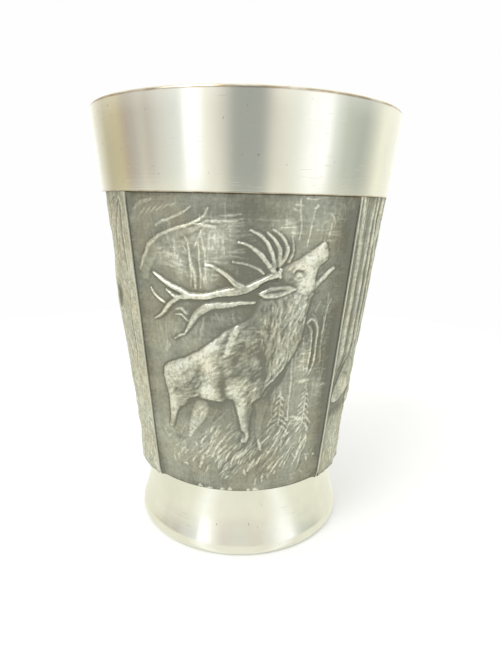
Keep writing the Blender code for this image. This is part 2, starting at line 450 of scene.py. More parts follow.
class Relief:
    """A height map, and a map of rubbing and painted shade, over one panel: u runs across from its middle,
    v up.
    """

    def __init__(self, seed, coves=(0.3, 0.3)):
        self.coves = coves
        self.across = np.linspace(-PANEL_WIDTH / 2, PANEL_WIDTH / 2, COLUMNS)
        self.up = np.linspace(0, PANEL_HEIGHT, ROWS)
        self.u, self.v = np.meshgrid(self.across, self.up)
        self.height = np.zeros_like(self.u)
        self.wear_and_shade = np.zeros_like(self.u)
        self.random = np.random.default_rng(seed)

    def noise(self, across, up=None):
        """Random unevenness of a given size in millimetres, with a spread of 1."""
        made = blur(self.random.standard_normal(self.u.shape), across, up)
        return made / made.std()

    def strands(self, across, along, lean, wave):
        """Noise from about -1 to 1, drawn out into long hairs; lean is their slope at each point."""
        drawn = self.noise(across, along)
        drawn -= blur(drawn, 1.6 * across, 0.0)
        shift = wave * self.noise(0.6) - lean * (self.v - 20)
        columns = (np.arange(COLUMNS) + shift * (COLUMNS - 1) / PANEL_WIDTH) % (COLUMNS - 1)
        return np.tanh(1.5 * sampled(drawn, np.arange(ROWS)[:, None], columns) / drawn.std())

    def window(self, line, reach):
        """The part of the grid that lies within reach of a line."""
        low, high = line.min(0) - reach, line.max(0) + reach
        scale = ((COLUMNS - 1) / PANEL_WIDTH, (ROWS - 1) / PANEL_HEIGHT)
        left = max(0, int((low[0] + PANEL_WIDTH / 2) * scale[0]))
        right = min(COLUMNS, int((high[0] + PANEL_WIDTH / 2) * scale[0]) + 2)
        base = max(0, int(low[1] * scale[1]))
        top = min(ROWS, int(high[1] * scale[1]) + 2)
        return slice(base, max(base, top)), slice(left, max(left, right))

    def near(self, line, reach):
        """Window, distance to the line and place along it (0 to 1) for each point."""
        box = self.window(line, reach)
        u, v = self.u[box], self.v[box]
        steps = np.diff(line, axis=0)
        lengths = np.hypot(steps[:, 0], steps[:, 1]) + 1e-9
        starts = np.concatenate([[0], np.cumsum(lengths)])
        best = np.full(u.shape, 1e9)
        along = np.zeros(u.shape)
        for (pu, pv), (du, dv), length, start in zip(line, steps, lengths, starts):
            share = np.clip(((u - pu) * du + (v - pv) * dv) / length**2, 0, 1)
            off = (u - pu - share * du) ** 2 + (v - pv - share * dv) ** 2
            nearer = off < best
            best = np.where(nearer, off, best)
            along = np.where(nearer, start + share * length, along)
        return box, np.sqrt(best), along / starts[-1]

    def bar(self, points, widths, height, floor=None, wear_and_shade=0.0, within=None, smooth=True):
        """A rounded bar along a curve. With a floor it stands clear of what is behind it."""
        line = spline(points) if smooth and len(points) > 2 else np.asarray(points, float)
        widths = np.atleast_1d(widths)
        box, off, along = self.near(line, widths.max() / 2)
        half = np.interp(along, np.linspace(0, 1, len(widths)), widths) / 2
        inside = off < half
        if within is not None:
            inside &= within[box]
        shape = np.sqrt(np.clip(1 - (off / np.maximum(half, 1e-6)) ** 2, 0, 1)) * inside
        if floor is None:
            self.height[box] += height * shape
        else:
            raised = np.maximum(self.height[box], floor + height * shape)
            self.height[box] = np.where(inside, raised, self.height[box])
        self.wear_and_shade[box] += wear_and_shade * shape

    def inside(self, line):
        """Which grid points a closed line encloses."""
        found = np.zeros(self.u.shape, bool)
        box = self.window(line, 0.1)
        u, v = self.u[box], self.v[box]
        odd = np.zeros(u.shape, bool)
        for (au, av), (bu, bv) in zip(line, np.roll(line, -1, axis=0)):
            if av != bv:
                crosses = (av > v) != (bv > v)
                odd ^= crosses & (u < (bu - au) * (v - av) / (bv - av) + au)
        found[box] = odd
        return found

    def mass(self, outline, height, rounding, floor=0.0, wear_and_shade=0.0):
        """A swelling form inside a closed outline, rounded over at its edge."""
        line = spline(outline, closed=True)
        mask = self.inside(line)
        box, off, _ = self.near(np.vstack([line, line[:1]]), 0.2)
        share = np.clip(off / rounding, 0, 1)
        form = np.maximum(self.height[box], floor + height * np.sqrt(1 - (1 - share) ** 2))
        self.height[box] = np.where(mask[box], form, self.height[box])
        self.wear_and_shade[box] += np.where(mask[box], wear_and_shade, 0)
        return mask

    def figure(self, outline, furrow, height, rounding, floor, wear_and_shade=0.0):
        """A form that stands in a furrow; the furrow is given as its width, height and wear."""
        width, depth, rubbed = furrow
        self.bar(outline + outline[:1], [width], depth, wear_and_shade=rubbed)
        return self.mass(outline, height, rounding, floor, wear_and_shade)

    def hump(self, u, v, across, up, height, turn=0.0, wear_and_shade=0.0, within=None):
        """A soft swelling, or a hollow where height is below zero."""
        c, s = math.cos(math.radians(turn)), math.sin(math.radians(turn))
        x = (self.u - u) * c + (self.v - v) * s
        y = (self.v - v) * c - (self.u - u) * s
        shape = np.exp(-((x / across) ** 2 + (y / up) ** 2))
        if within is not None:
            shape = shape * within
        self.height += height * shape
        self.wear_and_shade += wear_and_shade * shape

    def humps(self, rows, within=None):
        """Humps from rows of u, v, across, up, height, turn and wear."""
        for row in rows:
            self.hump(*row, within)

    def strokes(self, region, angle, count, length, width, height, bend=0.0, wear_and_shade=0.0, within=None):
        """Many short curved strokes inside a region; angle is degrees, or a function of u, v."""
        line = np.asarray(region, float)
        low, high = line.min(0), line.max(0)
        mask = self.inside(line)
        made = 0
        while made < count:
            u, v = self.random.uniform(low, high)
            column = int((u + PANEL_WIDTH / 2) / PANEL_WIDTH * (COLUMNS - 1))
            row = int(v / PANEL_HEIGHT * (ROWS - 1))
            if not (0 <= column < COLUMNS and 0 <= row < ROWS and mask[row, column]):
                made += 0.2
                continue
            made += 1
            lean = angle(u, v) if callable(angle) else angle
            lean = math.radians(lean + self.random.normal(0, 7))
            size = length * self.random.uniform(0.5, 1.5)
            turn = bend * self.random.uniform(0.2, 1.5)
            points = [(u, v)]
            for k in range(4):
                points.append(beyond(points[-1], size / 4, lean + turn * k / 4))
            taper = np.array([0.5, 1, 0.8, 0.25]) * width * self.random.uniform(0.7, 1.3)
            strong = self.random.uniform(0.3, 1.4)
            self.bar(points, taper, height * strong, wear_and_shade=wear_and_shade * strong, within=within, smooth=False)

    def cast(self):
        """Height and wear as the casting left them: softened and a little uneven."""
        columns = np.arange(COLUMNS) + 0.4 * self.noise(0.6) + 0.15 * self.noise(0.2)
        rows = np.arange(ROWS)[:, None] + 0.4 * self.noise(0.6) + 0.15 * self.noise(0.2)
        height = sampled(blur(self.height, 0.05), rows, columns)
        wear_and_shade = sampled(blur(self.wear_and_shade, 0.06), rows, columns)
        return height * (1 + 0.08 * self.noise(0.5)) + 0.003 * self.noise(0.1), wear_and_shade

    def rubbed(self, height, drawn):
        """How far the patina is rubbed away: most on what stands high, and speckled all over; painted shade
        darkens the seams.
        """
        fine = height - blur(height, 0.22)
        broad = height - blur(height, 0.9)
        wear_and_shade = 0.27 + np.where(fine > 0, 3.6, 2.6) * fine + 0.9 * broad + 0.47 * drawn
        over = (wear_and_shade - WEAR_KNEE) / WEAR_SPARE
        wear_and_shade = np.where(over > 0, WEAR_KNEE + WEAR_SPARE * np.tanh(over), wear_and_shade)
        grain = 0.03 + 0.22 * np.clip(wear_and_shade - 0.4, 0, 0.4)
        flecks = np.clip(self.noise(0.09) - 0.7, 0, 1.5) * np.clip(2.5 * wear_and_shade - 1, 0, 1)
        wear_and_shade += grain * self.noise(0.06) + 0.02 * self.noise(0.35) + 0.03 * self.noise(1.2) - 0.2 * flecks
        wear_and_shade += 0.02 * self.noise(1.2, 0.05) * np.clip(self.noise(2.0), 0, 1.5)
        wear_and_shade += 0.09 * np.clip(wear_and_shade, 0.2, 1) * self.noise(0.13)
        wear_and_shade += 0.015 * (self.noise(0.6, 0.08) + self.noise(0.08, 0.6))
        # darker along the seams with the foot and the rim: grime, with painted shade under the rim's
        # overhang and in the joint with the foot
        wear_and_shade -= 0.28 * np.exp(-self.v / 0.22) + 0.2 * np.exp((self.v - PANEL_HEIGHT) / 0.25)
        return np.clip(wear_and_shade, 0, 1)

    def finished(self):
        """The surface's height in millimetres, and its rubbing and painted shade from 0 to 1."""
        height, drawn = self.cast()
        wear_and_shade = self.rubbed(height, drawn)
        height = height * HEIGHT_SCALE
        over = height - HEIGHT_KNEE
        kneed = HEIGHT_KNEE + HEIGHT_SPARE * np.tanh(over / HEIGHT_SPARE)
        height = np.where(over > 0, kneed, height)
        # the ground rises to meet the corner strips
        half = PANEL_WIDTH / 2
        rise = np.exp((-half - self.u) / self.coves[0]) + np.exp((self.u - half) / self.coves[1])
        return height * (1 - 0.7 * rise) + MARGIN_RISE * rise, wear_and_shade


# ---------------------------------------------------------------- the panel with the stag

def box_region(left, right, low, high):
    """An upright rectangle's corners."""
    return [(left, low), (right, low), (right, high), (left, high)]


def far_light(r):
    """Far woodland: hatched patches of light between the trunks."""
    r.height += 0.003 * r.noise(0.5) + 0.002 * r.noise(0.05, 0.6)
    for left, right, low, high, wear_and_shade in (
        (-4.4, -0.9, 32.0, 36.2, 0.55), (-4.4, -3.3, 28.4, 32.0, 0.7), (-10.8, -6.8, 30.6, 32.6, 0.5),
        (-8.8, -6.6, 32.4, 33.9, 0.45), (-7.5, -6.5, 29.4, 31.5, 0.4), (7.2, 8.9, 15.2, 20.6, 0.5),
        (3.0, 5.6, 34.6, 36.4, 0.3), (8.6, 10.6, 33.6, 37.2, 0.25), (10.5, 12.0, 13.2, 15.9, 0.4),
    ):
        middle = ((left + right) / 2, (low + high) / 2)
        r.hump(*middle, (right - left) / 2, (high - low) / 2, 0.0, wear_and_shade=0.9 * wear_and_shade)
        area = (right - left) * (high - low)
        region = box_region(left, right, low, high)
        r.strokes(region, 0, int(area * 3.4), 1.9, 0.15, 0.02, wear_and_shade=1.1 * wear_and_shade)
        r.strokes(region, 90, int(area * 2.4), 1.8, 0.15, 0.02, wear_and_shade=1.0 * wear_and_shade)
    r.strokes(box_region(-12.5, 12.5, 20, 38), 90, 300, 1.6, 0.14, 0.012, wear_and_shade=0.08)
    r.strokes(box_region(-12.5, 12.5, 28, 38), 0, 150, 1.8, 0.14, 0.01, wear_and_shade=0.08)
    for left, right, low, high, angle, count in (
        (-11.4, -9.4, 19.0, 22.6, 84, 26), (-5.6, -4.2, 22.0, 23.8, 84, 12),
        (-3.6, 0.4, 24.6, 25.6, -65, 16), (4.2, 7.0, 11.0, 14.6, 84, 30),
        (-8.6, -5.0, 21.0, 23.0, 84, 14), (10.2, 11.6, 20.0, 27.0, 84, 30),
    ):
        r.strokes(box_region(left, right, low, high), angle, count, 1.3, 0.15, 0.03, wear_and_shade=0.35)


def arching_bough(r):
    """The bough that arches over the antlers, with its twigs."""
    bough = [(-13.0, 29.9), (-12.5, 31.0), (-11.7, 32.1), (-11.1, 33.0), (-10.2, 33.6), (-9.3, 34.3),
             (-8.0, 34.8), (-6.6, 35.25), (-5.3, 35.8), (-4.5, 36.2)]
    r.bar([(u + 0.55, v - 0.45) for u, v in bough], [1.6, 1.7, 1.7, 1.3, 0.9, 0.4], 0.16, 0.0)
    r.bar(bough, [0.5, 0.6, 0.7, 0.42, 0.36, 0.3], 0.2, 0.04, wear_and_shade=0.55)
    r.bar([(-4.7, 36.1), (-4.1, 36.5), (-3.75, 36.9), (-3.45, 37.45)], [0.3, 0.18], 0.14, 0.03, wear_and_shade=0.4)
    r.bar([(-5.1, 35.75), (-4.2, 35.6), (-2.7, 35.35)], [0.3, 0.3, 0.2], 0.15, 0.03, wear_and_shade=0.6)
    r.bar([(-6.2, 35.2), (-5.0, 35.1), (-4.3, 35.0)], [0.16, 0.2, 0.12], 0.1, 0.02, wear_and_shade=0.4)
    r.bar([(-3.8, 36.0), (-2.0, 36.1), (-0.4, 36.15)], [0.2, 0.32, 0.2], 0.12, 0.02, wear_and_shade=0.6)
    r.bar([(-4.0, 36.45), (1.0, 36.35), (5.0, 36.2)], [0.13], 0.03, wear_and_shade=0.3)
    r.bar([(-2.1, 36.72), (-1.1, 36.74), (0.0, 36.95)], [0.12, 0.18, 0.1], 0.12, 0.02, wear_and_shade=0.7)
    r.bar([(-9.8, 35.45), (-8.9, 35.9), (-7.9, 36.15), (-6.8, 36.6), (-6.1, 37.0), (-5.3, 37.6)],
          [0.3, 0.34, 0.26, 0.22, 0.14], 0.13, 0.02, wear_and_shade=0.45)
    for k in range(6):
        r.bar([(-12.3 + 0.9 * k, 36.2 + 0.28 * k), (-11.6 + 0.9 * k, 36.9 + 0.2 * k),
               (-11.0 + 0.8 * k, 37.4 + 0.12 * k)], [0.12, 0.2, 0.1], 0.09, 0.0, wear_and_shade=0.3)
    r.bar([(-13.1, 37.0), (-12.4, 37.6), (-11.4, 38.1), (-10.2, 38.4)], [0.4, 0.6, 0.4], 0.1, 0.0,
          wear_and_shade=0.15)


def thin_trees(r):
    """Thin trees behind the antlers."""
    r.bar([(-6.2, 34.2), (-5.8, 33.2), (-5.75, 31.4), (-5.7, 30.0), (-5.8, 28.4)],
          [0.2, 0.26, 0.26, 0.22, 0.1], 0.14, 0.02, wear_and_shade=0.6)
    r.bar([(-5.75, 32.6), (-5.55, 31.2), (-5.3, 29.8), (-5.2, 28.2)], [0.1, 0.3, 0.5, 0.2], 0.12, 0.03,
          wear_and_shade=1.0)
    r.bar([(-4.65, 33.6), (-4.6, 31.6), (-4.55, 29.8), (-4.6, 28.4)], [0.2, 0.26, 0.2, 0.1], 0.1, 0.02,
          wear_and_shade=0.5)
    r.bar([(-3.95, 33.0), (-3.9, 31.0), (-3.9, 28.8)], [0.16, 0.24, 0.1], 0.1, 0.02, wear_and_shade=0.5)
    r.bar([(-6.75, 33.2), (-6.4, 33.0), (-6.05, 32.5)], [0.14, 0.2], 0.1, 0.03, wear_and_shade=0.4)
    r.bar([(-4.2, 34.9), (-4.6, 34.1), (-5.0, 33.2)], [0.3, 0.34, 0.2], 0.13, 0.03, wear_and_shade=0.6)
    r.bar([(-4.3, 34.7), (-4.2, 33.8), (-4.1, 32.8)], [0.25, 0.2], 0.1, 0.03, wear_and_shade=0.4)


def thin_stems(r):
    """Thin stems above the head, and slanting twigs in the corner."""
    for points, wide in (
        ([(6.05, 38.6), (6.15, 37.4), (6.35, 36.0), (6.35, 35.0), (6.2, 34.0)], 0.2),
        ([(8.1, 38.0), (7.75, 37.3), (7.6, 36.2), (7.45, 34.8), (7.25, 33.5)], 0.22),
        ([(8.35, 37.95), (7.9, 37.7), (7.5, 37.5)], 0.2), ([(5.4, 37.6), (5.8, 37.4), (6.2, 37.4)], 0.16),
        ([(5.5, 38.0), (6.0, 38.0), (6.5, 37.9)], 0.14), ([(4.2, 35.5), (5.0, 35.55), (5.8, 35.5)], 0.14),
        ([(8.0, 35.2), (8.7, 35.2), (9.9, 35.3)], 0.14),
        ([(10.6, 36.2), (10.4, 36.6), (10.0, 37.0)], 0.25),
        ([(10.2, 35.9), (10.2, 35.2), (10.0, 34.5)], 0.2),
        ([(6.7, 38.75), (7.6, 38.7), (8.5, 38.75)], 0.16),
    ):
        r.bar(points, [wide, wide * 0.8], 0.1, 0.02, wear_and_shade=0.4)
    r.hump(5.5, 34.9, 0.35, 0.6, 0.06, wear_and_shade=0.6)
    for k in range(5):
        r.bar([(10.0 + 0.25 * k, 38.0 + 0.1 * k), (10.8 + 0.25 * k, 37.3 + 0.15 * k),
               (11.6 + 0.2 * k, 36.6 + 0.25 * k)], [0.1, 0.22, 0.1], 0.06, 0.0, wear_and_shade=0.15)


def knotted_trunk(r):
    """The old trunk at the right, with its long knot hole."""
    r.hump(9.7, 21.0, 1.9, 6.0, 0.1)
    r.bar([(8.35, 23.9), (8.9, 24.4), (9.5, 24.1), (9.95, 23.2), (10.1, 22.0), (10.15, 20.5), (10.1, 19.0),
           (9.85, 17.6), (9.5, 16.8)], [0.3, 0.34, 0.34, 0.3, 0.22], 0.14, wear_and_shade=0.5)
    r.bar([(9.1, 25.0), (9.5, 24.6), (9.9, 23.9)], [0.15, 0.25, 0.15], 0.1, wear_and_shade=0.5)
    r.bar([(8.55, 23.6), (9.0, 22.9), (9.25, 21.8), (9.35, 20.4), (9.3, 18.9), (9.15, 17.4)],
          [0.2, 0.28, 0.3, 0.26, 0.2], 0.12, wear_and_shade=0.45)
    r.bar([(9.05, 24.0), (9.55, 22.9), (9.75, 21.2), (9.75, 19.4), (9.55, 17.8)],
          [0.25, 0.5, 0.5, 0.45, 0.2], -0.16, wear_and_shade=-0.5)
    r.bar([(11.75, 26.8), (11.25, 25.8), (11.1, 24.6), (11.0, 23.2), (11.05, 21.5), (11.1, 19.5),
           (11.2, 18.2)], [0.2, 0.3, 0.26, 0.2, 0.2], 0.1, wear_and_shade=0.35)
    r.bar([(10.75, 25.5), (10.6, 23.8), (10.65, 21.5), (10.6, 19.0)], [0.25, 0.3, 0.2], -0.06, wear_and_shade=-0.2)
    r.bar([(10.0, 26.6), (9.7, 26.0), (9.5, 25.3)], [0.2, 0.3, 0.2], 0.06, wear_and_shade=0.2)
    r.strokes(box_region(7.3, 9.0, 15.0, 23.0), 0, 70, 0.9, 0.13, 0.05, wear_and_shade=0.2)
    r.strokes(box_region(10.2, 11.8, 13.0, 27.0), -8, 90, 0.7, 0.12, 0.04, wear_and_shade=0.12)


def beam(r, points, widths, height, floor, wear_and_shade):
    """One length of antler: a rough, pearled ridge in a shallow furrow."""
    r.bar(points, [w + 0.5 for w in widths], -0.04, wear_and_shade=-0.16)
    r.bar(points, widths, height, floor, wear_and_shade=0.5 * wear_and_shade)
    r.bar(points, [0.4 * w for w in widths], 0.02, wear_and_shade=0.2 * wear_and_shade)


def antlers(r):
    """Both antlers, the far one first."""
    beam(r, [(-11.6, 27.75), (-11.1, 27.1), (-10.4, 26.55), (-9.5, 26.05)], [0.2, 0.34, 0.34, 0.26], 0.2,
         0.1, 0.8)
    beam(r, [(1.6, 26.75), (0.2, 26.65), (-1.2, 26.4), (-2.6, 26.2), (-3.8, 26.0), (-4.7, 25.45),
             (-5.4, 24.8), (-6.0, 23.9), (-6.4, 23.2), (-6.85, 22.45)],
         [0.3, 0.42, 0.6, 0.66, 0.75, 1.05, 0.95, 0.85, 0.55, 0.16], 0.26, 0.12, 0.62)
    beam(r, [(-6.5, 24.0), (-7.2, 24.65), (-8.1, 24.75)], [0.3, 0.24, 0.14], 0.18, 0.08, 0.35)
    beam(r, [(-6.9, 22.35), (-7.5, 22.1), (-8.5, 21.5)], [0.2, 0.26, 0.14], 0.16, 0.06, 0.5)
    r.bar([(-6.6, 25.0), (-7.2, 25.5), (-8.0, 25.4)], [0.5, 0.4, 0.2], 0.14, 0.06, wear_and_shade=0.3)
    # the fine tines that rise behind the brow
    beam(r, [(2.5, 30.15), (1.8, 30.75), (0.9, 31.15), (0.0, 31.4), (-0.95, 31.5)],
         [0.4, 0.36, 0.28, 0.24, 0.12], 0.2, 0.08, 0.35)
    beam(r, [(4.35, 31.4), (4.9, 32.4), (5.0, 33.2), (4.6, 34.1), (4.0, 34.75), (3.25, 35.3)],
         [0.6, 0.5, 0.42, 0.36, 0.28, 0.14], 0.22, 0.1, 0.45)
    beam(r, [(4.1, 31.2), (4.15, 32.4), (4.0, 33.3), (3.4, 34.2), (2.7, 34.9)],
         [0.7, 0.6, 0.55, 0.42, 0.2], 0.24, 0.1, 0.4)
    beam(r, [(5.2, 31.6), (5.65, 32.8), (5.55, 33.8), (5.3, 34.6)], [0.4, 0.3, 0.2, 0.12], 0.14, 0.06, 0.2)
    # near antler: brow tines, the beam, its crown
    beam(r, [(3.65, 30.9), (3.5, 31.9), (3.15, 32.9), (2.6, 33.9), (1.9, 34.6), (0.95, 35.15)],
         [0.5, 0.5, 0.52, 0.5, 0.36, 0.12], 0.3, 0.14, 0.55)
    beam(r, [(3.9, 30.1), (3.2, 31.0), (2.4, 32.0), (1.5, 32.85), (0.7, 33.5), (-0.25, 33.85)],
         [0.8, 0.66, 0.62, 0.56, 0.42, 0.12], 0.32, 0.15, 0.7)
    beam(r, [(4.1, 30.1), (3.2, 29.75), (2.2, 29.25), (1.2, 28.6), (0.2, 28.2), (-1.2, 27.95),
             (-2.6, 27.6), (-4.0, 27.3), (-5.4, 27.2), (-6.6, 27.15)],
         [0.8, 0.62, 0.7, 0.9, 1.1, 0.95, 0.82, 0.78, 0.8, 0.9], 0.36, 0.18, 0.65)
    beam(r, [(0.1, 28.5), (-0.7, 29.1), (-1.5, 29.8), (-2.3, 30.5), (-3.0, 30.95), (-3.5, 31.1),
             (-4.0, 31.0)], [1.0, 0.75, 0.6, 0.5, 0.36, 0.28, 0.14], 0.3, 0.18, 0.7)
    beam(r, [(-6.2, 27.3), (-7.2, 27.85), (-8.3, 28.3), (-9.2, 28.65), (-10.0, 29.15), (-10.85, 29.75)],
         [0.85, 0.72, 0.6, 0.5, 0.42, 0.14], 0.32, 0.16, 0.75)
    beam(r, [(-6.6, 27.2), (-7.5, 26.85), (-8.4, 26.3), (-9.1, 25.6), (-9.8, 24.85), (-10.6, 24.2),
             (-11.5, 23.75)], [0.8, 0.6, 0.62, 0.6, 0.5, 0.36, 0.12], 0.3, 0.16, 0.6)
    beam(r, [(-7.0, 27.05), (-7.9, 27.0), (-8.6, 27.35), (-9.2, 27.75)], [0.5, 0.42, 0.34, 0.14], 0.26,
         0.14, 0.55)
    # a furrow along the beam, and the burr at its root
    r.bar([(3.0, 29.45), (1.6, 28.7), (0.2, 28.15), (-1.6, 27.75), (-3.4, 27.35), (-5.4, 27.15)],
          [0.16, 0.14], -0.07, wear_and_shade=-0.2)
    r.bar([(4.35, 30.75), (4.3, 30.3), (4.35, 29.8)], [0.34, 0.3], 0.1, 0.5, wear_and_shade=0.7)
    r.hump(4.45, 29.55, 0.3, 0.2, -0.2, wear_and_shade=-0.7)


def far_legs(r):
    """The stag's far legs, in low relief."""
    r.bar([(2.9, 14.6), (3.05, 12.8), (2.85, 11.0), (2.7, 9.6), (2.75, 8.7), (3.05, 7.6), (3.3, 6.5)],
          [2.0, 1.7, 1.25, 1.0, 0.8, 0.7, 0.5], 0.12, 0.0, wear_and_shade=-0.15)
    r.bar([(2.75, 8.1), (3.0, 7.4), (3.2, 6.5)], [0.22, 0.36, 0.2], 0.08, 0.16, wear_and_shade=0.8)
    thigh = [(-5.1, 12.6), (-5.7, 11.4), (-6.2, 10.4), (-6.8, 9.2), (-7.3, 7.9)]
    r.bar(thigh, [2.2, 2.2, 1.7, 1.1, 0.5], 0.12, 0.0, wear_and_shade=0.6)
    r.strokes([(-6.6, 12.4), (-4.2, 12.4), (-5.4, 10.0), (-7.0, 8.0), (-7.6, 8.0)], 50, 60, 0.8, 0.14,
              0.02, wear_and_shade=0.4)
    # painted shade under the belly, a darker band with no hollow
    r.hump(-4.4, 13.2, 2.6, 0.45, 0.0, wear_and_shade=-0.3)


def body_form(r):
    """The stag's trunk, neck and near legs; returns the mask that they cover."""
    outline = [
        (4.0, 29.4), (2.5, 27.6), (1.9, 26.2), (1.2, 24.8), (0.0, 24.05), (-1.0, 23.45), (-2.0, 22.85),
        (-3.0, 22.0), (-4.0, 21.2), (-5.0, 20.4), (-6.0, 19.75), (-7.0, 19.2), (-8.0, 18.85),
        (-9.0, 18.5), (-10.0, 18.0), (-10.65, 17.3), (-10.9, 16.4), (-10.8, 15.4), (-10.6, 14.4),
        (-10.4, 13.4), (-10.3, 12.4), (-10.35, 11.2), (-10.6, 10.0), (-10.8, 9.1), (-10.7, 8.5),
        (-10.0, 8.5), (-9.75, 9.3), (-9.4, 10.2), (-9.05, 11.2), (-8.5, 11.95), (-7.8, 12.35),
        (-7.25, 12.9), (-6.8, 13.5), (-6.0, 13.75), (-5.0, 13.7), (-3.6, 13.55), (-2.4, 13.4),
        (-1.5, 13.8), (-0.75, 13.8), (-0.4, 12.9), (-0.15, 12.0), (0.05, 11.0), (0.25, 10.0), (0.35, 9.5),
        (0.8, 9.1), (0.8, 8.6), (0.25, 8.1), (0.25, 7.75), (1.0, 7.6), (1.35, 8.2), (1.4, 9.2),
        (1.5, 10.2), (1.65, 11.3), (1.8, 12.5), (1.9, 13.5), (2.3, 13.9), (2.7, 14.1), (3.1, 14.8),
        (3.6, 15.6), (4.3, 16.45), (5.1, 17.35), (5.8, 18.2), (6.5, 19.2), (7.2, 20.4), (7.75, 21.8),
        (8.0, 23.2), (8.15, 24.6), (8.35, 26.0), (8.5, 27.0), (8.8, 27.8), (7.5, 29.5),
    ]
    body = r.figure(outline, (0.5, -0.05, -0.28), 0.34, 1.7, 0.06)
    # the hollow behind the elbow, at u -2.0, is dark with patina and with painted shade as well
    r.humps((
        (-8.8, 16.8, 1.9, 1.8, 0.09, 0, 0.85), (-10.2, 15.4, 0.7, 2.2, 0.05, 0, 0.5),
        (-9.6, 12.8, 0.9, 1.9, 0.05, 0, 0.9), (-9.6, 11.6, 0.7, 1.0, 0.0, 0, 0.5),
        (-10.3, 8.9, 0.7, 0.9, -0.12, 0, -0.4), (-7.4, 18.2, 2.6, 0.8, 0.05, 25, 0.7),
        (-7.9, 15.6, 2.4, 0.5, 0.03, 38, 0.3), (-4.3, 20.4, 2.4, 0.9, 0.06, 38, 0.9),
        (-2.6, 22.1, 1.6, 0.35, 0.03, 36, 0.5), (-5.6, 16.3, 0.9, 2.4, -0.1, -14, -0.45),
        (-8.2, 14.8, 1.5, 0.9, -0.05, 20, -0.55), (-4.0, 17.4, 0.8, 2.2, 0.1, -4, 0.6),
        (-3.9, 14.9, 1.1, 1.0, 0.06, 0, 1.5), (-2.0, 15.2, 0.6, 2.4, -0.2, 6, -0.9),
        (-2.4, 18.6, 0.6, 1.2, -0.06, 0, -0.2), (-0.7, 15.3, 1.05, 1.25, 0.14, -20, 1.5),
        (0.2, 12.2, 0.45, 2.6, 0.05, -8, 1.3), (1.35, 12.0, 0.5, 2.4, -0.08, 4, -0.35),
        (0.7, 10.0, 0.35, 0.8, 0.05, 0, 0.6), (1.1, 8.6, 0.3, 0.7, 0.03, 0, 0.7),
        (1.6, 18.6, 1.9, 2.4, 0.06, 0, -0.2), (2.1, 19.0, 0.45, 0.6, 0.06, 0, 0.55),
        (0.7, 16.9, 0.7, 1.0, 0.04, 0, 0.25), (-0.7, 18.7, 0.7, 1.6, -0.07, 10, -0.35),
        (3.0, 18.2, 0.45, 2.6, -0.1, 8, -0.45), (5.9, 18.2, 0.35, 1.4, -0.04, -40, -0.2),
    ), body)
    # the shoulder blade's ridge, between two hollows
    r.bar([(-0.2, 23.6), (-0.75, 22.6), (-1.15, 21.6), (-1.55, 20.4)], [0.6, 0.9, 1.0, 0.7], 0.12,
          wear_and_shade=0.75, within=body)
    r.bar([(-1.3, 22.8), (-2.0, 21.2), (-2.5, 19.6)], [0.5, 0.9, 0.7], -0.07, wear_and_shade=-0.3, within=body)
    r.bar([(0.4, 21.6), (-0.1, 20.2), (-0.8, 18.8)], [0.6, 0.9, 0.6], -0.06, wear_and_shade=-0.3, within=body)
    return body


def short_coat(r, body):
    """Short hair on the trunk, as strokes above and below the skin."""
    coat = [(-11, 14), (-10, 18), (-6, 20), (0, 24), (2.5, 24), (3, 16), (2, 13.5), (-6, 13)]
    r.strokes(coat, lambda u, v: 205 + 10 * math.sin(u), 900, 0.8, 0.15, 0.011, wear_and_shade=0.45, within=body)
    r.strokes(coat, lambda u, v: 225 + 20 * math.sin(u), 760, 0.7, 0.15, -0.013, wear_and_shade=-0.47, within=body)
    r.strokes([(0, 14), (0.3, 17), (2.6, 17.4), (2.8, 14.5), (1.5, 13.5)], 240, 80, 1.1, 0.14, 0.05,
              wear_and_shade=0.25, within=body)
    r.strokes(box_region(-0.4, 3.0, 22.0, 23.9), 0, 40, 1.4, 0.12, 0.03, wear_and_shade=0.25, within=body)


def mane_flow(u, v):
    """Which way the mane lies at a place, in degrees."""
    return 262 - 3.2 * (u - 5) - (14 if v < 19 else 0) + 5 * math.sin(1.7 * v + u)


def throat_mane(r, body):
    """The long mane down the throat and neck."""
    mane = [
        (2.2, 26.6), (4.4, 27.6), (6.6, 28.0), (8.3, 27.4), (8.1, 23.0), (6.9, 19.8), (5.4, 17.7),
        (3.2, 14.9), (3.3, 17.0), (3.2, 20.0), (2.4, 22.5),
    ]
    dense = [(4.2, 27.2), (7.4, 27.6), (7.2, 22.0), (5.6, 18.0), (3.6, 16.2), (3.6, 20.0), (3.6, 24.0)]
    hair = r.strands(0.075, 0.3, 0.06 + 0.05 * (r.u - 4), 0.13)
    for region, soft, strong in ((mane, 0.4, 0.5), (dense, 0.5, 0.5)):
        spread = strong * blur(r.inside(spline(region, closed=True)) * 1.0, soft) * body
        r.height += 0.016 * spread * hair
        r.wear_and_shade += spread * (0.4 * hair + 0.16)
    r.strokes(mane, mane_flow, 420, 1.0, 0.14, 0.024, bend=-0.25, wear_and_shade=0.4, within=body)
    r.strokes(mane, mane_flow, 380, 1.0, 0.14, -0.024, bend=0.25, wear_and_shade=-0.42, within=body)
    r.bar([(5.7, 18.3), (4.7, 17.2), (3.7, 16.0), (2.9, 14.7), (2.6, 14.2)], [0.3, 0.4, 0.36, 0.3, 0.2],
          0.1, wear_and_shade=0.45)
    # a groove beside the dewlap's edge, dark with patina and with painted shade
    r.bar([(6.1, 18.0), (5.4, 16.8), (4.5, 15.5), (3.6, 14.3)], [0.4, 0.9, 0.8, 0.4], -0.07, wear_and_shade=-0.4)


